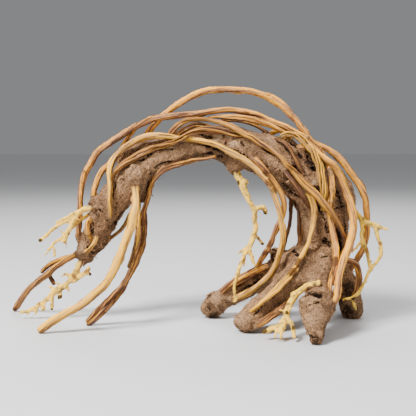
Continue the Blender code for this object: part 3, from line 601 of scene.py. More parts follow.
class VineSettings(bpy.types.PropertyGroup):
    """Sizes and colours of the peeled vines"""

    ring_step: bpy.props.FloatProperty(
        name="Ring step",
        description="Spacing of the rings along a vine",
        default=1.3 * MM, subtype="DISTANCE",
    )
    sides: bpy.props.IntProperty(
        name="Sides",
        description="Sides of a vine's section",
        default=20,
    )
    wander: bpy.props.FloatProperty(
        name="Wander",
        description="How far a vine strays from its smooth line",
        default=3.4 * MM, subtype="DISTANCE",
    )
    grain_depth: bpy.props.FloatProperty(
        name="Grain depth",
        description="Depth of the lengthwise grain, as a share of the radius",
        default=0.75,
    )
    knot_height: bpy.props.FloatProperty(
        name="Knot height",
        description="Height of the knots, as a share of the radius",
        default=0.34,
    )
    orange: bpy.props.FloatVectorProperty(
        name="Orange wood",
        description="Colour of the orange-brown vines",
        default=(0.69, 0.298, 0.075), subtype="COLOR",
    )
    yellow: bpy.props.FloatVectorProperty(
        name="Yellow wood",
        description="Colour of the yellow vines",
        default=(0.88, 0.435, 0.088), subtype="COLOR",
    )
    brown: bpy.props.FloatVectorProperty(
        name="Brown wood",
        description="Colour of the brown vines",
        default=(0.48, 0.212, 0.061), subtype="COLOR",
    )
    rind: bpy.props.FloatVectorProperty(
        name="Rind",
        description="Colour of the bark left on the vines",
        default=(0.095, 0.035, 0.014), subtype="COLOR",
    )


class TwigSettings(bpy.types.PropertyGroup):
    """Sizes and colours of the pale twigs"""

    skin_step: bpy.props.FloatProperty(
        name="Skin step",
        description="Spacing of the points on a twig",
        default=0.6 * MM, subtype="DISTANCE",
    )
    bud_count: bpy.props.IntProperty(
        name="Buds",
        description="Short spurs on each twig",
        default=10,
    )
    bud_length: bpy.props.FloatProperty(
        name="Bud length",
        description="Length of a spur",
        default=2.4 * MM, subtype="DISTANCE",
    )
    leanness: bpy.props.FloatProperty(
        name="Leanness",
        description="How far the skin lies inside its solid, as a share of the thickness",
        default=0.12, subtype="FACTOR",
    )
    crook: bpy.props.FloatProperty(
        name="Crook",
        description="How far a twig strays from its smooth line",
        default=4.0 * MM, subtype="DISTANCE",
    )
    pale: bpy.props.FloatVectorProperty(
        name="Pale wood",
        description="Colour of the twigs",
        default=(1.0, 0.595, 0.052), subtype="COLOR",
    )
    stain: bpy.props.FloatVectorProperty(
        name="Stain",
        description="Colour of the twigs' stains and broken ends",
        default=(0.24, 0.10, 0.03), subtype="COLOR",
    )


class StageSettings(bpy.types.PropertyGroup):
    """The floor and the light"""

    floor_size: bpy.props.FloatProperty(
        name="Floor size",
        description="Side of the floor",
        default=60.0, subtype="DISTANCE",
    )
    floor_colour: bpy.props.FloatVectorProperty(
        name="Floor colour",
        description="Colour of the plain floor",
        default=(0.70, 0.70, 0.705), subtype="COLOR",
    )
    lamp_power: bpy.props.FloatProperty(
        name="Lamp power",
        description="Power of the large soft lamp",
        default=62.0,
    )
    horizon_light: bpy.props.FloatProperty(
        name="Horizon light",
        description="Strength of the dome's light at the horizon",
        default=0.25,
    )
    overhead_light: bpy.props.FloatProperty(
        name="Overhead light",
        description="Strength of the dome's light overhead",
        default=0.34,
    )


def new_tree(name, sockets):
    """A geometry tree with those inputs besides its geometry, its builder, and its two end nodes."""
    tree = bpy.data.node_groups.new(name, "GeometryNodeTree")
    tree.interface.new_socket("Geometry", in_out="INPUT", socket_type="NodeSocketGeometry")
    for label, kind in sockets.items():
        tree.interface.new_socket(label, in_out="INPUT", socket_type=f"NodeSocket{kind}")
    tree.interface.new_socket("Geometry", in_out="OUTPUT", socket_type="NodeSocketGeometry")
    build = Builder(tree)
    return tree, build, build.add("NodeGroupInput").outputs, build.add("NodeGroupOutput")


def finish_tree(build, geometry, material, end):
    """Ends a tree in Realize Instances and Set Material."""
    real = build.add("GeometryNodeRealizeInstances", {"Geometry": geometry}).outputs[0]
    smooth = build.add("GeometryNodeSetShadeSmooth", {"Geometry": real}).outputs[0]
    dressed = build.add("GeometryNodeSetMaterial", {"Geometry": smooth, "Material": material}).outputs[0]
    build.link(dressed, end.inputs[0])


def store(build, geometry, name, value, kind="FLOAT", domain="POINT"):
    inputs = {"Geometry": geometry, "Name": name, "Value": value}
    return build.add("GeometryNodeStoreNamedAttribute", inputs, data_type=kind, domain=domain).outputs[0]


def noted(build, geometry, notes):
    """The geometry with those numbers stored at its points, for its material."""
    for name, value in notes.items():
        geometry = store(build, geometry, name, value)
    return geometry


def grow(obj, tree, values):
    """Puts the tree on an object with its inputs set by socket."""
    modifier = obj.modifiers.new(tree.name, "NODES")
    modifier.node_group = tree
    for socket in tree.interface.items_tree:
        if socket.in_out == "INPUT" and socket.name in values:
            modifier[socket.identifier] = values[socket.name]
    return modifier


def plain_mesh(obj):
    """Turns what the object's modifiers make into its own plain mesh."""
    bpy.context.view_layer.update()
    graph = bpy.context.evaluated_depsgraph_get()
    mesh = bpy.data.meshes.new_from_object(obj.evaluated_get(graph))
    obj.modifiers.clear()
    obj.data = mesh
    return obj


def new_object(name, mesh):
    obj = bpy.data.objects.new(name, mesh)
    bpy.context.scene.collection.objects.link(obj)
    return obj


def merged_copy(node, name):
    """A new object with the solid's shape, its loose triangles joined."""
    mesh = frame["nodes"][node].data.copy()
    mesh.materials.clear()
    bm = bmesh.new()
    bm.from_mesh(mesh)
    bmesh.ops.remove_doubles(bm, verts=bm.verts, dist=WELD)
    bm.to_mesh(mesh)
    bm.free()
    return new_object(name, mesh)


def add_remesh(obj, step, smoothing):
    remesh = obj.modifiers.new("skin", "REMESH")
    remesh.mode = "VOXEL"
    remesh.voxel_size = step
    smooth = obj.modifiers.new("soften", "SMOOTH")
    smooth.factor = 0.5
    smooth.iterations = smoothing


def hand_over(piece, slot, *nodes):
    """Rides a finished piece on the body in the place of its solids."""
    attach(piece, BODY)
    if nodes:
        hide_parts(*nodes)


def new_material(name, roughness, specular):
    """A material, its builder and its surface shader with even gloss."""
    material = bpy.data.materials.new(name)
    material.use_nodes = True
    shader = material.node_tree.nodes["Principled BSDF"]
    shader.inputs["Roughness"].default_value = roughness
    shader.inputs["Specular IOR Level"].default_value = specular
    return material, Builder(material.node_tree), shader


def set_bump(build, shader, height, depth):
    bump = build.add("ShaderNodeBump", {"Height": height, "Distance": depth, "Strength": 1.0})
    build.link(bump.outputs[0], shader.inputs["Normal"])


def tinted(colour, factor):
    """The colour made lighter or darker by that factor."""
    return [min(1, factor * channel) for channel in colour]


def shifted(build, value, by, reach):
    """The value moved up where the other is over a half, and down where it is under."""
    return build.plus(value, build.times(build.minus(by, 0.5), reach))


def crossing_fibres(build, place, width):
    """A mat of short fibres that cross each other, as a height from 0 to 1."""
    mats = [
        build.noise(build.stretched(place, shares), 1 / (6 * width), 1.5, 0.6)
        for shares in ((1, 6, 5), (6, 1, 5), (5, 6, 1), (4, 2, 5))
    ]
    highest = build.most(build.most(mats[0], mats[1]), build.most(mats[2], mats[3]))
    return build.remap(highest, 0.50, 0.78)


def felt_colour(build, place, trunk):
    """The brown of mottled bark crossed by paler fibres, and the noises of the fibres and the crumbs."""
    mottle = build.plus(build.noise(place, 90, 3, 0.6), build.noise(place, 28, 1, 0.5))
    shades = ((0.40, trunk.dark_bark), (0.55, trunk.light_bark))
    body = build.ramp(build.times(mottle, 0.5), shades)
    crumb = build.noise(place, 600, 2, 0.65)
    speckled = build.scaled(body, build.remap(crumb, 0.36, 0.64, 0.42, 1.55))
    fibre = crossing_fibres(build, place, 0.5 * MM)
    return build.blend(build.times(fibre, 0.5), speckled, (*trunk.dusty_bark, 1)), fibre, crumb


def lit_above_shaded_below(build, colour, underside_shade, grey=1.0):
    """The colour lit on top and darker and greyer below: painted light and painted shade by which way the
    surface faces.
    """
    upward = build.remap(build.attribute("upward"), -0.9, 0.8)
    low, high = (underside_shade, underside_shade, underside_shade * grey, 1), (1.12, 1.12, 1.12, 1)
    return build.vector("MULTIPLY", colour, build.blend(upward, low, high))


def felted_bark(trunk):
    """Felt with painted light on top and painted shade below, near-black in its hollows as painted shade,
    darker where a patch is dark, which is mostly painted shade and partly dark wood, dusty where a patch
    is pale and bare where it is paler still.
    """
    material, build, shader = new_material("felted_bark", 0.94, 0.15)
    colour, fibre, crumb = felt_colour(build, build.object_place(), trunk)
    # Painted light on top and painted shade below, by which way the bark faces.
    colour = lit_above_shaded_below(build, colour, 0.6)
    paleness = build.attribute("paleness")
    dust = build.times(paleness, build.remap(crumb, 0.38, 0.6, 0.35, 0.85))
    colour = build.blend(dust, colour, (*trunk.dusty_bark, 1))
    bared = build.remap(shifted(build, paleness, crumb, 1.0), 1.0, 1.3)
    colour = build.blend(bared, colour, (*trunk.bare_wood, 1))
    # Dark patches: mostly painted shade, some the dark wood of knots and broken ends.
    colour = build.scaled(colour, build.remap(build.attribute("shade"), 0, 1, 1, 0.16))
    # Painted shade: the hollows, cracks, pits and crevices go near-black.
    sunk = build.remap(shifted(build, build.attribute("hollow"), crumb, -0.6), 0.15, 0.7)
    colour = build.blend(sunk, colour, (*trunk.crack_shade, 1))
    build.link(colour, shader.inputs["Base Color"])
    height = build.plus(build.times(fibre, 0.6), build.times(crumb, 2.2))
    set_bump(build, shader, height, 1.0 * MM)
    return material


def toned_wood(name, trunk, roughness):
    """The fibres' and rootlets' material: each one has its own tone, stored when it is laid."""
    material, build, shader = new_material(name, roughness, 0.2)
    light = trunk.light_bark
    pale, palest = tinted(light, 1.4), tinted(light, 1.9)
    shades = ((0.0, trunk.dark_bark), (0.5, light), (0.85, pale), (1.0, palest))
    colour = build.ramp(build.attribute("tone"), shades)
    build.link(colour, shader.inputs["Base Color"])
    return material


def shaded_wood(wood):
    """The deep, the dull and the pale shade of a peeled wood, with no channel over 1."""
    shades = [[channel * share for channel, share in zip(wood, shares)] for shares in WOOD_SHADES]
    return [[channel / max(1, *shade) for channel in shade] for shade in shades]


def vine_wood(build, grain, ridge, tone, wood):
    """Peeled wood, streaked along its grain, with painted shade in its grooves and painted light on its
    ridges: its colour and two of its noises.
    """
    streak = build.noise(build.stretched(grain, (1, 1, 0.12)), 1.7, 2, 0.6)
    fine = build.noise(build.stretched(grain, (1, 1, 0.2)), 4.5, 2, 0.6)
    broad = build.noise(build.stretched(grain, (0.6, 0.6, 0.9)), 1.1, 3, 0.6)
    level = build.plus(build.times(streak, 1.15), build.times(broad, 0.5))
    level = build.minus(build.plus(level, build.times(fine, 0.9)), 0.77)
    # Painted shade in the grooves and painted light on the ridges.
    level = shifted(build, shifted(build, level, tone, 0.24), ridge, 0.45)
    deep, dull, pale = shaded_wood(wood)
    return build.ramp(level, ((0.30, deep), (0.42, dull), (0.53, wood), (0.66, pale))), streak, fine


def rind_cover(build, grain, tone):
    """Where rind is left on a vine: in ragged flakes, more of them on a dark vine and at its marks."""
    flakes = build.noise(build.stretched(grain, (1, 1, 0.45)), 1.5, 5, 0.7)
    edge = build.minus(build.remap(tone, 0, 1, 0.45, 0.60), build.times(build.attribute("flaked"), 0.2))
    return build.remap(build.minus(flakes, edge), 0.0, 0.04, 0, 0.9)


def peeled_vine(name, wood, vine, trunk):
    """Peeled wood with lengthwise grain, painted light on top and painted shade below and in its grooves,
    remnants of rind, and felt where the vine meets the trunk.
    """
    material, build, shader = new_material(name, 0.6, 0.14)
    grain = build.add("ShaderNodeAttribute", attribute_name="grain").outputs["Vector"]
    ridge, tone, felt = (build.attribute(label) for label in ("ridge", "tone", "felt"))
    colour, streak, fine = vine_wood(build, grain, ridge, tone, wood)
    rind = rind_cover(build, grain, tone)
    # Painted light on top and painted shade below, by which way the vine faces.
    barked = build.blend(rind, lit_above_shaded_below(build, colour, 0.45, 1.25), (*vine.rind, 1))
    dusty, fibre, _ = felt_colour(build, build.object_place(), trunk)
    covered = build.remap(shifted(build, felt, fibre, 0.6), 0.5, 0.72)
    build.link(build.blend(covered, barked, dusty), shader.inputs["Base Color"])
    gloss = build.most(build.remap(rind, 0, 1, 0.56, 0.8), build.remap(covered, 0, 1, 0.4, 0.92))
    build.link(gloss, shader.inputs["Roughness"])
    height = build.plus(build.times(streak, 1.2), build.times(fine, 0.8))
    height = build.plus(height, build.times(rind, 0.5))
    height = build.plus(height, build.times(build.times(fibre, covered), 1.2))
    set_bump(build, shader, height, 0.8 * MM)
    return material


def bleached_twig(twig, trunk):
    """Bare pale wood, golden below and in its hollows as painted shade, with brown flecks and knots and a
    felted root.
    """
    material, build, shader = new_material("bleached_twig", 0.62, 0.14)
    place = build.object_place()
    speck = build.noise(place, 560, 3, 0.6)
    deep, dull, _ = shaded_wood(twig.pale)
    # Darker between the knobs, as painted shade in the hollows.
    level = shifted(build, build.noise(place, 170, 3, 0.65), build.attribute("knob"), 0.5)
    colour = build.ramp(level, ((0.26, deep), (0.40, dull), (0.51, twig.pale)))
    # Painted light on top and painted shade below, by which way the twig faces, which makes it golden
    # below.
    colour = lit_above_shaded_below(build, colour, 0.75, 1.8)
    blotch = build.remap(build.noise(place, 120, 1, 0.5), 0.64, 0.70, 0, 0.9)
    stained = build.most(build.remap(speck, 0.60, 0.70, 0, 0.7), blotch)
    colour = build.blend(stained, colour, (*twig.stain, 1))
    ringed = build.remap(shifted(build, build.attribute("knotted"), speck, 0.9), 0.4, 0.6, 0, 0.95)
    colour = build.blend(ringed, colour, (*tinted(twig.stain, 0.12), 1))
    dusty, fibre, _ = felt_colour(build, place, trunk)
    covered = build.remap(shifted(build, build.attribute("felt"), fibre, 0.6), 0.45, 0.7)
    build.link(build.blend(covered, colour, dusty), shader.inputs["Base Color"])
    set_bump(build, shader, build.noise(place, 700, 3, 0.6), 0.3 * MM)
    return material


def warped_place(build, place, scale, reach):
    """The place moved about by a soft noise, so that what is measured from it has no clean edge."""
    return build.vector("ADD", place, build.stray(place, scale, reach))


def nearest_mark(build, marks, place):
    """How near the nearest mark is as a share of its reach, and that mark's tint and height."""
    inputs = {"Geometry": marks, "Sample Position": place}
    nearest = build.add("GeometryNodeSampleNearest", inputs, domain="POINT").outputs[0]

    def of_mark(field, kind="FLOAT"):
        inputs = {"Geometry": marks, "Index": nearest, "Value": field}
        return build.add("GeometryNodeSampleIndex", inputs, data_type=kind, domain="POINT").outputs[0]

    away = build.distance(place, of_mark(build.position(), "FLOAT_VECTOR"))
    reach, tint, height = (of_mark(build.named(label)) for label in ("reach", "tint", "height"))
    return build.over(away, reach), tint, height


def marked(build, helper, warp, fade, rise=None):
    """The tint and the height that the nearest of a helper's marks gives each point.

    The tint is whole within the first share of the mark's reach and gone past the second, and so is the
    height, or by its own two shares.
    """
    place = warped_place(build, build.position(), *warp)
    share, tint, height = nearest_mark(build, build.shape_of(helper), place)
    near, high = (build.remap(share, *span, 1, 0) for span in (fade, rise or fade))
    return build.times(near, tint), build.times(high, height)


def along_arch(build, place):
    """The place measured round the arch, so that a noise can be drawn out along the trunk."""
    x, y, z = build.split(place)
    across, up = build.minus(x, ARCH_MIDDLE[0]), build.minus(z, ARCH_MIDDLE[1])
    angle = build.math("ARCTAN2", up, across)
    radius = build.math("SQRT", build.plus(build.times(across, across), build.times(up, up)))
    return build.whole(build.times(angle, ARCH_RADIAN), y, radius)


def thin_cracks(build, place, round_arch):
    """Thin cracks along the trunk, here and there, from 0 to 1."""
    track = build.math("ABSOLUTE", build.swing(round_arch, 48, 2, 0.6))
    where = build.remap(build.noise(place, 26, 1, 0.5), 0.52, 0.64)
    return build.times(build.remap(track, 0.0, 0.045, 1, 0), where)


def small_pits(build, place, warped):
    """Small round pits, here and there, from 0 to 1."""
    inputs = {"Vector": warped, "Scale": 115.0}
    away = build.add("ShaderNodeTexVoronoi", inputs, feature="F1").outputs[0]
    where = build.remap(build.noise(place, 60, 1, 0.5), 0.56, 0.66)
    return build.times(build.remap(away, 0.08, 0.3, 1, 0), where)


def bark_relief(build, given, place):
    """How far each point of the bark moves out, and how deep in a hollow it lies."""
    warped = warped_place(build, place, *LUMP_WARP)
    round_arch = along_arch(build, warped)
    lumps = build.swing(warped, 62, 3, 0.55)
    flutes = build.swing(round_arch, 85, 3, 0.6)
    crumbs = build.swing(place, 240, 3, 0.7)
    cut = build.most(thin_cracks(build, place, round_arch), small_pits(build, place, warped))
    height = build.times(lumps, given["Lump Height"])
    height = build.plus(height, build.times(flutes, given["Flute Height"]))
    height = build.plus(height, build.times(crumbs, given["Crumb Height"]))
    height = build.minus(height, build.times(cut, given["Crack Depth"]))
    # The low spots, with the cracks and pits, are where painted shade goes.
    low = build.remap(build.plus(crumbs, flutes), -0.34, -0.10, 0.6, 0)
    return height, build.most(build.times(cut, 0.42), low)


def boxed(build, geometry, place, given):
    """Moves the points there, but not out of the box."""
    kept = build.vector("MINIMUM", build.vector("MAXIMUM", place, given["Box Low"]), given["Box High"])
    return build.add("GeometryNodeSetPosition", {"Geometry": geometry, "Position": kept}).outputs[0]


def away_from(build, helper):
    """How far each point is from an object's faces."""
    inputs = {0: build.shape_of(helper)}
    return build.add("GeometryNodeProximity", inputs, target_element="FACES").outputs["Distance"]


def felt_collar(build, given, place):
    """How far the felt climbs at a place that is near a vine."""
    gap = shifted(build, away_from(build, given["Vines"]), build.noise(place, 260, 2, 0.6), 3 * MM)
    return build.times(build.remap(gap, 0.2 * MM, 2.6 * MM, 1, 0), given["Collar Height"])


def bark_tree():
    """Lumps, crevices and collars on the trunk's skin, and how deep, shaded or pale each point is."""
    tree, build, given, end = new_tree("bark_skin", BARK_INPUTS)
    place, normal = build.position(), build.normal()
    height, hollow = bark_relief(build, given, place)
    lined, relief = marked(build, given["Lines"], LINE_WARP, (0.5, 1.25), (0.35, 1.2))
    patched, swelling = marked(build, given["Patches"], PATCH_WARP, (0.35, 1.0))
    # hollow takes painted shade into the cracks, pits, low spots and crevices; shade is mostly painted
    # shade from the dark patches, partly the dark wood of knots and broken ends; upward sets the painted
    # light and shade by facing.
    skin = noted(build, given["Geometry"], {
        "hollow": build.most(hollow, build.times(lined, -1.0)),
        "shade": build.most(build.times(patched, -1.0), 0.0),
        "paleness": build.most(build.most(patched, lined), 0.0),
        "upward": build.split(normal)[2],
    })
    for rise in (felt_collar(build, given, place), relief, swelling):
        height = build.plus(height, rise)
    moved = build.vector("ADD", place, build.scaled(normal, height))
    finish_tree(build, boxed(build, skin, moved, given), given["Finish"], end)
    return tree


def random_number(build, low, high, seed):
    inputs = {2: low, 3: high, "Seed": seed}
    return build.add("FunctionNodeRandomValue", inputs, data_type="FLOAT").outputs[1]


def scattered(build, given, density, strand, tilt, sizes):
    """Strands stood on a skin's faces at random, each with its own turn, size and tone."""
    inputs = {"Mesh": given["Geometry"], "Density": density, "Seed": given["Seed"]}
    points = build.add("GeometryNodeDistributePointsOnFaces", inputs).outputs
    inputs = {"Min": (-tilt, -tilt, 0.0), "Max": (tilt, tilt, 2 * math.pi), "Seed": TURN_SEED}
    turn = build.add("FunctionNodeRandomValue", inputs, data_type="FLOAT_VECTOR").outputs[0]
    inputs = {"Rotation": points["Rotation"], "Rotate By": turn}
    spun = build.add("FunctionNodeRotateRotation", inputs, rotation_space="LOCAL").outputs[0]
    size = build.times(random_number(build, *sizes, SIZE_SEED), given["Length"])
    inputs = {"Points": points["Points"], "Instance": strand, "Rotation": spun, "Scale": size}
    laid = build.add("GeometryNodeInstanceOnPoints", inputs).outputs[0]
    toned = store(build, laid, "tone", random_number(build, 0.0, 1.0, TONE_SEED), domain="INSTANCE")
    return build.add("GeometryNodeRealizeInstances", {"Geometry": toned}).outputs[0]


def even_density(build, given):
    """The density that spreads the wanted count over the whole skin."""
    area = build.add("GeometryNodeInputMeshFaceArea").outputs[0]
    inputs = {"Geometry": given["Geometry"], "Attribute": area}
    whole = build.add("GeometryNodeAttributeStatistic", inputs, domain="FACE").outputs["Sum"]
    return build.over(given["Count"], whole)


def bent_line(build, start, middle, end, points):
    """A line about 1 long, bent towards its middle place."""
    inputs = {"Resolution": points, "Start": start, "Middle": middle, "End": end}
    return build.add("GeometryNodeCurveQuadraticBezier", inputs).outputs[0]


def swept_strand(build, given, line, taper, sides):
    """A strand along a line 1 long, as slender as asked for and thinner at its far end by that share."""
    ring = build.add("GeometryNodeCurvePrimitiveCircle", {"Resolution": sides, "Radius": 0.5}).outputs[0]
    along = build.add("GeometryNodeSplineParameter").outputs["Factor"]
    share = build.minus(1.0, build.times(along, taper))
    narrow = build.times(build.over(given["Width"], given["Length"]), share)
    swept = {"Curve": line, "Profile Curve": ring, "Scale": narrow, "Fill Caps": True}
    return build.add("GeometryNodeCurveToMesh", swept).outputs[0]


def fibre_tree():
    """Short bent fibres laid at random on a skin, thicker in patches."""
    tree, build, given, end = new_tree("loose_fibres", SCATTER_INPUTS)
    place = build.position()
    patches = build.remap(build.noise(place, 45, 2, 0.5), 0.35, 0.6, 0.35, 1.5)
    density = build.times(even_density(build, given), patches)
    line = bent_line(build, (-0.5, 0, 0), (0.05, 0.16, 0.28), (0.5, -0.05, 0.02), 3)
    strand = swept_strand(build, given, line, 0.3, 3)
    real = scattered(build, given, density, strand, 0.3, (0.45, 1.5))
    finish_tree(build, boxed(build, real, place, given), given["Finish"], end)
    return tree


def rootlet_tree():
    """Short broken rootlets that stand on a skin."""
    tree, build, given, end = new_tree("broken_rootlets", SCATTER_INPUTS)
    line = bent_line(build, (0, 0, -0.3), (0.05, 0.0, 0.5), (0.45, 0.1, 0.75), 7)
    strand = swept_strand(build, given, line, 0.45, 7)
    real = scattered(build, given, even_density(build, given), strand, 0.5, (0.5, 1.3))
    finish_tree(build, boxed(build, real, build.position(), given), given["Finish"], end)
    return tree


def hair_tree():
    """Long fine root hairs that curl off the upper part of a skin."""
    tree, build, given, end = new_tree("root_hairs", SCATTER_INPUTS)
    place = build.position()
    high = build.remap(build.split(place)[2], 110 * MM, 150 * MM, 0.15, 2.2)
    density = build.times(even_density(build, given), high)
    line = bent_line(build, (-0.4, 0, -0.02), (0.1, 0.3, 0.34), (0.5, 0.15, 0.16), 14)
    inputs = {"Geometry": line, "Offset": build.stray(place, 3.4, 0.5, 1.0)}
    wavy = build.add("GeometryNodeSetPosition", inputs).outputs[0]
    strand = swept_strand(build, given, wavy, 0.5, 3)
    real = scattered(build, given, density, strand, 0.35, (0.5, 1.4))
    finish_tree(build, boxed(build, real, place, given), given["Finish"], end)
    return tree


def wandering_line(build, given):
    """The vine's line, evenly stepped, thinner at its very ends and straying a little between them."""
    line = build.add("GeometryNodeMeshToCurve", {"Mesh": given["Geometry"]}).outputs[0]
    smooth = build.add("GeometryNodeCurveSplineType", {"Curve": line}, spline_type="CATMULL_ROM")
    inputs = {"Curve": smooth.outputs[0], "Length": given["Ring Step"]}
    line = build.add("GeometryNodeResampleCurve", inputs, mode="LENGTH").outputs[0]
    reached = build.add("GeometryNodeSplineParameter").outputs["Length"]
    line = store(build, line, "along", reached)
    whole = build.add("GeometryNodeSplineLength").outputs["Length"]
    from_end = build.math("MINIMUM", reached, build.minus(whole, reached))
    free = build.times(build.remap(from_end, 0.0, 14 * MM), given["Wander"])
    thickness = build.named("thickness")
    rounding = build.remap(build.over(from_end, thickness), 0.0, 0.5, 0.68, 1)
    line = store(build, line, "thickness", build.times(thickness, rounding))
    return moved_by_noise(build, line, given["Seed"], LINE_STRAY, free)


def moved_by_noise(build, line, seed, frequency, reach):
    """The line moved sideways by a noise that runs along it."""
    course = build.whole(build.times(build.named("along"), frequency), build.times(seed, 5.1), 0.0)
    inputs = {"Geometry": line, "Offset": build.stray(course, 1.0, reach)}
    return build.add("GeometryNodeSetPosition", inputs).outputs[0]


def parted_strands(build, given, line):
    """The line as so many strands that wind round it, each with its own number and thickness."""
    inputs = {"Geometry": line, "Amount": given["Strands"]}
    copies = build.add("GeometryNodeDuplicateElements", inputs, domain="SPLINE").outputs
    strands = store(build, copies[0], "strand", copies["Duplicate Index"])
    number, along, thickness = (build.named(label) for label in ("strand", "along", "thickness"))
    turn = build.over(build.times(number, 2 * math.pi), given["Strands"])
    turn = build.plus(turn, build.times(along, STRAND_WIND))
    first = build.normal()
    second = build.vector("CROSS_PRODUCT", build.add("GeometryNodeInputTangent").outputs[0], first)
    first = build.scaled(first, build.math("COSINE", turn))
    second = build.scaled(second, build.math("SINE", turn))
    share = build.math("POWER", given["Strands"], -0.7)
    spread = build.times(build.minus(1.0, share), 1.25)
    offset = build.scaled(build.vector("ADD", first, second), build.times(spread, thickness))
    strands = build.add("GeometryNodeSetPosition", {"Geometry": strands, "Offset": offset}).outputs[0]
    own = build.plus(given["Seed"], build.times(number, 0.37))
    strands = moved_by_noise(build, strands, own, STRAND_STRAY, build.times(spread, 4.5 * MM))
    return store(build, strands, "thickness", build.times(thickness, share))


def swept_tube(build, given, line):
    """A tube round the line, each point of which knows its own place in the grain, and that place."""
    inputs = {"Resolution": given["Sides"], "Radius": 1.0}
    circle = build.add("GeometryNodeCurvePrimitiveCircle", inputs).outputs[0]
    factor = build.add("GeometryNodeSplineParameter").outputs["Factor"]
    circle = store(build, circle, "around", build.times(factor, 2 * math.pi))
    thickness = build.named("thickness")
    inputs = {"Curve": line, "Profile Curve": circle, "Scale": thickness, "Fill Caps": True}
    tube = build.add("GeometryNodeCurveToMesh", inputs).outputs[0]
    along = build.named("along")
    turned = build.plus(build.named("around"), build.times(along, GRAIN_WIND))
    own = build.plus(build.times(given["Seed"], 7.3), build.times(build.named("strand"), 3.1))
    onward = build.plus(build.times(along, GRAIN_LENGTH), own)
    grain = build.whole(build.math("COSINE", turned), build.math("SINE", turned), onward)
    return store(build, tube, "grain", grain, "FLOAT_VECTOR"), grain


def vine_relief(build, given, grain):
    """How far each point moves out as a share of the radius, and how high on a ridge it lies."""
    ridges = build.swing(build.stretched(grain, (1, 1, 0.22)), 1.7, 3, 0.6)
    swell = build.swing(build.stretched(grain, (0.35, 0.35, 1)), 1.5, 2, 0.5)
    knot = build.noise(build.stretched(grain, (0.9, 0.9, 1)), 1.1, 0, 0.5)
    share = build.plus(build.times(ridges, given["Grain Depth"]), build.times(swell, 0.6))
    share = build.plus(share, build.times(build.remap(knot, 0.66, 0.78), given["Knot Height"]))
    return share, build.math("ADD", build.times(ridges, 1.8), 0.5, clamp=True)


def sunken(build, given, line):
    """The line, each point of which knows how far it has sunk into the bark, from 0 outside to 1."""
    trunk = build.shape_of(given["Trunk"])
    place = build.position()
    nearest = build.add("GeometryNodeProximity", {0: trunk}, target_element="FACES").outputs["Position"]
    inputs = {"Mesh": trunk, "Value": build.normal(), "Sample Position": place}
    outward = build.add("GeometryNodeSampleNearestSurface", inputs, data_type="FLOAT_VECTOR")
    inputs = {0: build.vector("SUBTRACT", place, nearest), 1: outward.outputs["Value"]}
    outside = build.add("ShaderNodeVectorMath", inputs, operation="DOT_PRODUCT").outputs["Value"]
    free = build.over(outside, build.named("thickness"))
    free = shifted(build, free, build.noise(place, 300, 2, 0.6), 1.2)
    return store(build, line, "sunken", build.remap(free, 0.3, 1.0, 1, 0))


def felt_touch(build, given, reach):
    """How far felt covers a skin where it comes near the trunk, from 0 at that distance to 1."""
    return build.remap(away_from(build, given["Trunk"]), 0.1 * MM, reach, 1, 0)


def vine_tree():
    """A grained tube, or several, swept along a line of points with a thickness each."""
    tree, build, given, end = new_tree("peeled_vine", VINE_INPUTS)
    line = sunken(build, given, parted_strands(build, given, wandering_line(build, given)))
    tube, grain = swept_tube(build, given, line)
    share, ridge = vine_relief(build, given, grain)
    flaked, flake = marked(build, given["Rinds"], SPOT_WARP, (0.4, 1.3))
    normal = build.normal()
    felt = build.most(felt_touch(build, given, 1.5 * MM), build.named("sunken"))
    tube = noted(build, tube, {
        "ridge": ridge,
        "tone": given["Tone"],
        "flaked": flaked,
        "upward": build.split(normal)[2],
        "felt": felt,
    })
    sleeve = build.times(build.remap(felt, 0.45, 0.8), 0.9 * MM)
    height = build.times(share, build.named("thickness"))
    for rise in (sleeve, flake):
        height = build.plus(height, rise)
    moved = build.vector("ADD", build.position(), build.scaled(normal, height))
    finish_tree(build, boxed(build, tube, moved, given), given["Finish"], end)
    return tree


def bud_tree():
    """Short blunt spurs scattered on a twig, sunk into it."""
    tree, build, given, end = new_tree("twig_buds", BUD_INPUTS)
    inputs = {"Vertices": 8, "Radius Top": 0.26, "Radius Bottom": 0.5, "Depth": 1.5}
    cone = build.add("GeometryNodeMeshCone", inputs).outputs[0]
    inputs = {"Geometry": cone, "Translation": (0, 0, -0.55)}
    sunk = build.add("GeometryNodeTransform", inputs).outputs[0]
    spurs = scattered(build, given, even_density(build, given), sunk, 0.7, (0.5, 1.25))
    both = build.add("GeometryNodeJoinGeometry")
    for geometry in (given["Geometry"], spurs):
        build.link(geometry, both.inputs[0])
    build.link(both.outputs[0], end.inputs[0])
    return tree


def local_thickness(build, geometry, place, normal):
    """How thick the twig is across each point, evened out along the skin."""
    inward = build.scaled(normal, -1.0)
    inputs = {
        "Target Geometry": geometry,
        "Source Position": build.vector("ADD", place, build.scaled(inward, 0.1 * MM)),
        "Ray Direction": inward,
        "Ray Length": 14 * MM,
    }
    across = build.add("GeometryNodeRaycast", inputs).outputs["Hit Distance"]
    inputs = {0: across, "Iterations": 6}
    return build.add("GeometryNodeBlurAttribute", inputs, data_type="FLOAT").outputs[0]


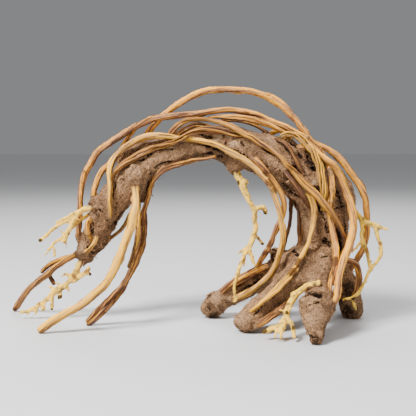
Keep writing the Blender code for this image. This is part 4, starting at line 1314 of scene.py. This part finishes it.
def twig_tree():
    """The knobbly, slightly crooked skin of a twig, kept inside the solids' box."""
    tree, build, given, end = new_tree("twig_skin", TWIG_INPUTS)
    place, normal = build.position(), build.normal()
    felt = felt_touch(build, given, 4.5 * MM)
    knobs = build.swing(place, 210, 2, 0.5)
    rough = build.swing(place, 640, 1, 0.5)
    knotted, knot = marked(build, given["Knots"], SPOT_WARP, (0.7, 1.3))
    across = local_thickness(build, given["Geometry"], place, normal)
    height = build.plus(build.times(knobs, 1.9 * MM), build.times(rough, 0.6 * MM))
    height = build.minus(height, build.times(across, given["Leanness"]))
    height = build.plus(height, knot)
    skin = noted(build, given["Geometry"], {
        "upward": build.split(normal)[2],
        "knob": build.plus(knobs, 0.5),
        "felt": felt,
        "knotted": knotted,
    })
    crook = build.times(build.minus(1.0, felt), given["Crook"])
    moved = build.vector("ADD", warped_place(build, place, 75.0, crook), build.scaled(normal, height))
    finish_tree(build, boxed(build, skin, moved, given), given["Finish"], end)
    return tree


def cut_end(bm):
    """The points around a tube's cut end: the flat face that is nearest to a regular polygon."""
    flat = bm.copy()
    flatness = math.radians(0.5)
    bmesh.ops.dissolve_limit(flat, angle_limit=flatness, verts=flat.verts[:], edges=flat.edges[:])
    corners, best = [], 0.0
    for face in flat.faces:
        middle = face.calc_center_median()
        reach = [(vert.co - middle).length for vert in face.verts]
        evenness = min(reach) / max(reach)
        if len(reach) == CUT_END_SIDES and evenness > best:
            corners, best = [vert.co.copy() for vert in face.verts], evenness
    flat.free()
    if not corners:
        raise RuntimeError("a vine's solid has no round cut end")
    return [min(bm.verts, key=lambda vert: (vert.co - corner).length) for corner in corners]


def centre_line(node):
    """The middle and the radius of each ring of a vine's solid, from one cut end to the other."""
    bm = bmesh.new()
    bm.from_mesh(frame["nodes"][node].data)
    bmesh.ops.remove_doubles(bm, verts=bm.verts, dist=WELD)
    ring = cut_end(bm)
    seen = set(ring)
    rows = []
    while ring:
        places = np.array([vert.co for vert in ring])
        middle = places.mean(axis=0)
        rows.append((*middle, np.linalg.norm(places - middle, axis=1).mean()))
        ring = list({edge.other_vert(vert) for vert in ring for edge in vert.link_edges} - seen)
        seen.update(ring)
    bm.free()
    return rows


def with_girth(rows, upper, lower):
    """The rings made thicker or thinner by a factor that goes evenly from the upper to the lower end."""
    first, last = (upper, lower) if rows[0][2] > rows[-1][2] else (lower, upper)
    factors = np.linspace(first, last, len(rows))
    return [(*middle, radius * factor) for (*middle, radius), factor in zip(rows, factors)]


def line_object(name, rows):
    mesh = bpy.data.meshes.new(name)
    mesh.from_pydata([row[:3] for row in rows], [(i, i + 1) for i in range(len(rows) - 1)], [])
    thickness = mesh.attributes.new("thickness", "FLOAT", "POINT")
    thickness.data.foreach_set("value", [row[3] for row in rows])
    return new_object(name, mesh)


def box_values():
    """The solids' box as the trees' two inputs."""
    low, high = cad_box
    return {"Box Low": tuple(low), "Box High": tuple(high)}


def photo_ray(column, row):
    """The direction from the eye through a place in the photograph."""
    side = FILM_WIDTH / EYE_LENS
    right, up = column / PHOTO_SIDE - 0.5, 0.5 - row / PHOTO_SIDE
    local = Vector((right * side, up * side, -1)).normalized()
    return Matrix.Rotation(math.radians(90 - EYE_PITCH), 3, "X") @ local


def in_photo(obj, column, row):
    """Where a place in the photograph meets an object: in front and then, on the same line, behind."""
    direction = photo_ray(column, row)
    eye = Vector(EYE)
    found = []
    for origin, way in ((eye, direction), (eye + EYE_REACH * direction, -direction)):
        hit, place, _, _ = obj.ray_cast(origin, way)
        if hit:
            found.append(place)
    return found


def marks_object(name, marks):
    """A helper of loose points, each with a reach, a tint and a height, that a tree reads."""
    mesh = bpy.data.meshes.new(name)
    mesh.from_pydata([mark[0] for mark in marks], [], [])
    for label, column in (("reach", 1), ("tint", 2), ("height", 3)):
        values = mesh.attributes.new(label, "FLOAT", "POINT")
        values.data.foreach_set("value", [mark[column] for mark in marks])
    return new_object(name, mesh)


def line_places(corners):
    """The columns and rows along a line, half a step or less apart."""
    for start, stop in zip(corners, corners[1:]):
        steps = math.ceil(2 * math.dist(start, stop))
        for i in range(steps + 1):
            yield tuple(a + (b - a) * i / steps for a, b in zip(start, stop))


def line_marks(trunk, lines, tint, rise):
    """Close points along every line, on the front of the trunk."""
    marks = []
    for width, *corners in lines.values():
        reach = 0.5 * width * MM
        for column, row in line_places(corners):
            front = in_photo(trunk, column, row)[:1]
            marks += [(place, reach, tint, rise * reach) for place in front]
    return marks


def patch_marks(obj, patches, most):
    """A point where each patch meets the object in front and, if two are wanted, another behind."""
    return [
        (place, reach * MM, tint, height * MM)
        for column, row, reach, tint, height in patches.values()
        for place in in_photo(obj, column, row)[:most]
    ]


def joined_solids(name, nodes):
    """A helper that holds those nodes' solids."""
    bm = bmesh.new()
    for node in nodes:
        bm.from_mesh(frame["nodes"][node].data)
    mesh = bpy.data.meshes.new(name)
    bm.to_mesh(mesh)
    bm.free()
    return new_object(name, mesh)


def spot_marks(name, nodes, patches):
    """A helper of points where the patches meet the front of those nodes' solids."""
    solids = joined_solids("solids", nodes)
    bpy.context.view_layer.update()
    marks = patch_marks(solids, patches, 1)
    bpy.data.objects.remove(solids)
    return marks_object(name, marks)


class DRIFTWOOD_OT_trunk(bpy.types.Operator):
    """Makes the trunk's felted skin with its cracks and pits"""

    bl_idname = "driftwood.add_trunk"
    bl_label = "Trunk"

    def execute(self, context):
        trunk = context.scene.driftwood_trunk
        piece = merged_copy("trunk", "felted_trunk")
        context.view_layer.update()
        lines = line_marks(piece, BARK_CREVICES, -1.0, -1.4) + line_marks(piece, BARK_RIDGES, 0.95, 1.5)
        helpers = {
            "Vines": joined_solids("vines", VINE_NODES),
            "Lines": marks_object("lines", lines),
            "Patches": marks_object("patches", patch_marks(piece, BARK_PATCHES, 2)),
        }
        add_remesh(piece, trunk.skin_step, 2)
        values = {
            "Lump Height": trunk.lump_height,
            "Flute Height": trunk.flute_height,
            "Crumb Height": trunk.crumb_height,
            "Crack Depth": trunk.crack_depth,
            "Collar Height": trunk.collar_height,
            "Finish": felted_bark(trunk),
        }
        grow(piece, bark_tree(), values | helpers | box_values())
        hand_over(plain_mesh(piece), "bark", "trunk")
        for helper in helpers.values():
            bpy.data.objects.remove(helper)
        return {"FINISHED"}


def scatter_on_trunk(name, tree, values):
    """A piece of what the tree scatters on the trunk's skin."""
    piece = new_object(name, bpy.data.objects["felted_trunk"].data.copy())
    grow(piece, tree, values | box_values())
    hand_over(plain_mesh(piece), "bark")


class DRIFTWOOD_OT_fibres(bpy.types.Operator):
    """Lays loose fibres, broken rootlets and root hairs on the trunk's skin"""

    bl_idname = "driftwood.add_fibres"
    bl_label = "Fibres and rootlets"

    def execute(self, context):
        trunk = context.scene.driftwood_trunk
        fibre = toned_wood("loose_fibre", trunk, 0.9)
        rootlet = toned_wood("rootlet_wood", trunk, 0.7)
        scatter_on_trunk("trunk_fibres", fibre_tree(), {
            "Count": trunk.fibre_count,
            "Length": trunk.fibre_length,
            "Width": trunk.fibre_width,
            "Seed": FIBRE_SEED,
            "Finish": fibre,
        })
        scatter_on_trunk("trunk_rootlets", rootlet_tree(), {
            "Count": trunk.rootlet_count,
            "Length": trunk.rootlet_length,
            "Width": 0.28 * trunk.rootlet_length,
            "Seed": ROOTLET_SEED,
            "Finish": rootlet,
        })
        scatter_on_trunk("crown_hairs", hair_tree(), {
            "Count": trunk.hair_count,
            "Length": trunk.hair_length,
            "Width": trunk.fibre_width,
            "Seed": HAIR_SEED,
            "Finish": fibre,
        })
        return {"FINISHED"}


class DRIFTWOOD_OT_vines(bpy.types.Operator):
    """Sweeps a grained tube along every vine's solid"""

    bl_idname = "driftwood.add_vines"
    bl_label = "Vines"

    def execute(self, context):
        vine, trunk = context.scene.driftwood_vine, context.scene.driftwood_trunk
        woods = {"vine_orange": vine.orange, "vine_yellow": vine.yellow, "vine_brown": vine.brown}
        finishes = {slot: peeled_vine(f"peeled_{slot}", woods[slot], vine, trunk) for slot in woods}
        rinds = spot_marks("rinds", VINE_NODES, VINE_RINDS)
        shared = {
            "Trunk": bpy.data.objects["felted_trunk"],
            "Rinds": rinds,
            "Ring Step": vine.ring_step,
            "Sides": vine.sides,
            "Wander": vine.wander,
            "Grain Depth": vine.grain_depth,
            "Knot Height": vine.knot_height,
        }
        tree = vine_tree()
        for number, node in enumerate(VINE_NODES):
            rows = with_girth(centre_line(node), *VINE_GIRTHS.get(node, (1, 1)))
            piece = line_object(f"peeled_{node}", rows)
            own = {
                "Seed": float(number),
                "Tone": VINE_TONES.get(node, 0.5),
                "Strands": VINE_STRANDS.get(node, 1),
                "Finish": finishes[SLOTS[node]],
            }
            grow(piece, tree, shared | own | box_values())
            hand_over(plain_mesh(piece), SLOTS[node], node)
        bpy.data.objects.remove(rinds)
        return {"FINISHED"}


class DRIFTWOOD_OT_twigs(bpy.types.Operator):
    """Makes the pale knobbly twigs with their spurs"""

    bl_idname = "driftwood.add_twigs"
    bl_label = "Twigs"

    def execute(self, context):
        twig = context.scene.driftwood_twig
        finish = bleached_twig(twig, context.scene.driftwood_trunk)
        buds, skin = bud_tree(), twig_tree()
        knots = spot_marks("knots", TWIG_NODES, TWIG_KNOTS)
        shared = {
            "Trunk": bpy.data.objects["felted_trunk"],
            "Knots": knots,
            "Leanness": twig.leanness,
            "Crook": twig.crook,
            "Finish": finish,
        }
        for number, node in enumerate(TWIG_NODES):
            piece = merged_copy(node, f"bleached_{node}")
            grow(piece, buds, {"Count": twig.bud_count, "Length": twig.bud_length, "Seed": number})
            add_remesh(piece, twig.skin_step, 2)
            grow(piece, skin, shared | box_values())
            hand_over(plain_mesh(piece), "twig", node)
        bpy.data.objects.remove(knots)
        return {"FINISHED"}


class DRIFTWOOD_OT_stage(bpy.types.Operator):
    """Sets the plain floor, the soft light and the camera"""

    bl_idname = "driftwood.add_stage"
    bl_label = "Stage"

    def execute(self, context):
        stage = context.scene.driftwood_stage
        half = stage.floor_size / 2
        mesh = bpy.data.meshes.new("floor")
        corners = [(-half, -half, 0), (half, -half, 0), (half, half, 0), (-half, half, 0)]
        mesh.from_pydata(corners, [], [(0, 1, 2, 3)])
        floor = new_object("floor", mesh)
        floor.location.z = -0.2 * MM
        material, _, shader = new_material("plain_floor", 0.7, 0.2)
        shader.inputs["Base Color"].default_value = (*stage.floor_colour, 1)
        mesh.materials.append(material)
        for name, (place, size, share) in LAMPS.items():
            add_lamp(name, place, size, share * stage.lamp_power)
        add_world(stage)
        add_camera()
        return {"FINISHED"}


def add_lamp(name, place, size, power):
    """A square soft lamp that points at the arch."""
    light = bpy.data.lights.new(name, "AREA")
    light.energy = power
    light.size = size
    lamp = new_object(name, light)
    lamp.location = place
    lamp.rotation_euler = (Vector(place) - Vector(LAMP_AIM)).to_track_quat("Z", "Y").to_euler()


def add_world(stage):
    """A plain dome, dim at the horizon like the far floor and brighter overhead."""
    world = bpy.data.worlds.new("soft_room")
    world.use_nodes = True
    build = Builder(world.node_tree)
    way = build.add("ShaderNodeTexCoord").outputs["Generated"]
    height = build.split(way)[2]
    tone = build.remap(height, 0.25, 0.8, stage.horizon_light, stage.overhead_light)
    background = world.node_tree.nodes["Background"]
    background.inputs["Color"].default_value = (0.97, 0.985, 1.0, 1)
    build.link(tone, background.inputs["Strength"])
    bpy.context.scene.world = world


def add_camera():
    camera = bpy.data.cameras.new("eye")
    camera.lens = EYE_LENS
    holder = new_object("eye", camera)
    holder.location = EYE
    holder.rotation_euler = (math.radians(90 - EYE_PITCH), 0, 0)
    bpy.context.scene.camera = holder


class DRIFTWOOD_PT_panel(bpy.types.Panel):
    """The sizes, the colours and the steps of the driftwood arch"""

    bl_idname = "DRIFTWOOD_PT_panel"
    bl_label = "Driftwood arch"
    bl_space_type = "VIEW_3D"
    bl_region_type = "UI"
    bl_category = "Driftwood"

    def draw(self, context):
        for name, operators in STEPS.items():
            box = self.layout.box()
            settings = getattr(context.scene, name)
            for prop in settings.__annotations__:
                box.prop(settings, prop)
            for operator in operators:
                box.operator(operator.bl_idname)


SETTINGS = {
    "driftwood_trunk": TrunkSettings,
    "driftwood_vine": VineSettings,
    "driftwood_twig": TwigSettings,
    "driftwood_stage": StageSettings,
}
STEPS = {
    "driftwood_trunk": (DRIFTWOOD_OT_trunk, DRIFTWOOD_OT_fibres),
    "driftwood_vine": (DRIFTWOOD_OT_vines,),
    "driftwood_twig": (DRIFTWOOD_OT_twigs,),
    "driftwood_stage": (DRIFTWOOD_OT_stage,),
}
OPERATORS = [operator for operators in STEPS.values() for operator in operators]


def register():
    for kind in [*SETTINGS.values(), *OPERATORS, DRIFTWOOD_PT_panel]:
        bpy.utils.register_class(kind)
    for name, kind in SETTINGS.items():
        setattr(bpy.types.Scene, name, bpy.props.PointerProperty(type=kind))


def unregister():
    for name in SETTINGS:
        delattr(bpy.types.Scene, name)
    for kind in reversed([*SETTINGS.values(), *OPERATORS, DRIFTWOOD_PT_panel]):
        bpy.utils.unregister_class(kind)


def main():
    register()
    bpy.ops.driftwood.add_trunk()
    bpy.ops.driftwood.add_fibres()
    bpy.ops.driftwood.add_vines()
    bpy.ops.driftwood.add_twigs()
    bpy.ops.driftwood.add_stage()


if __name__ == "__main__":
    main()
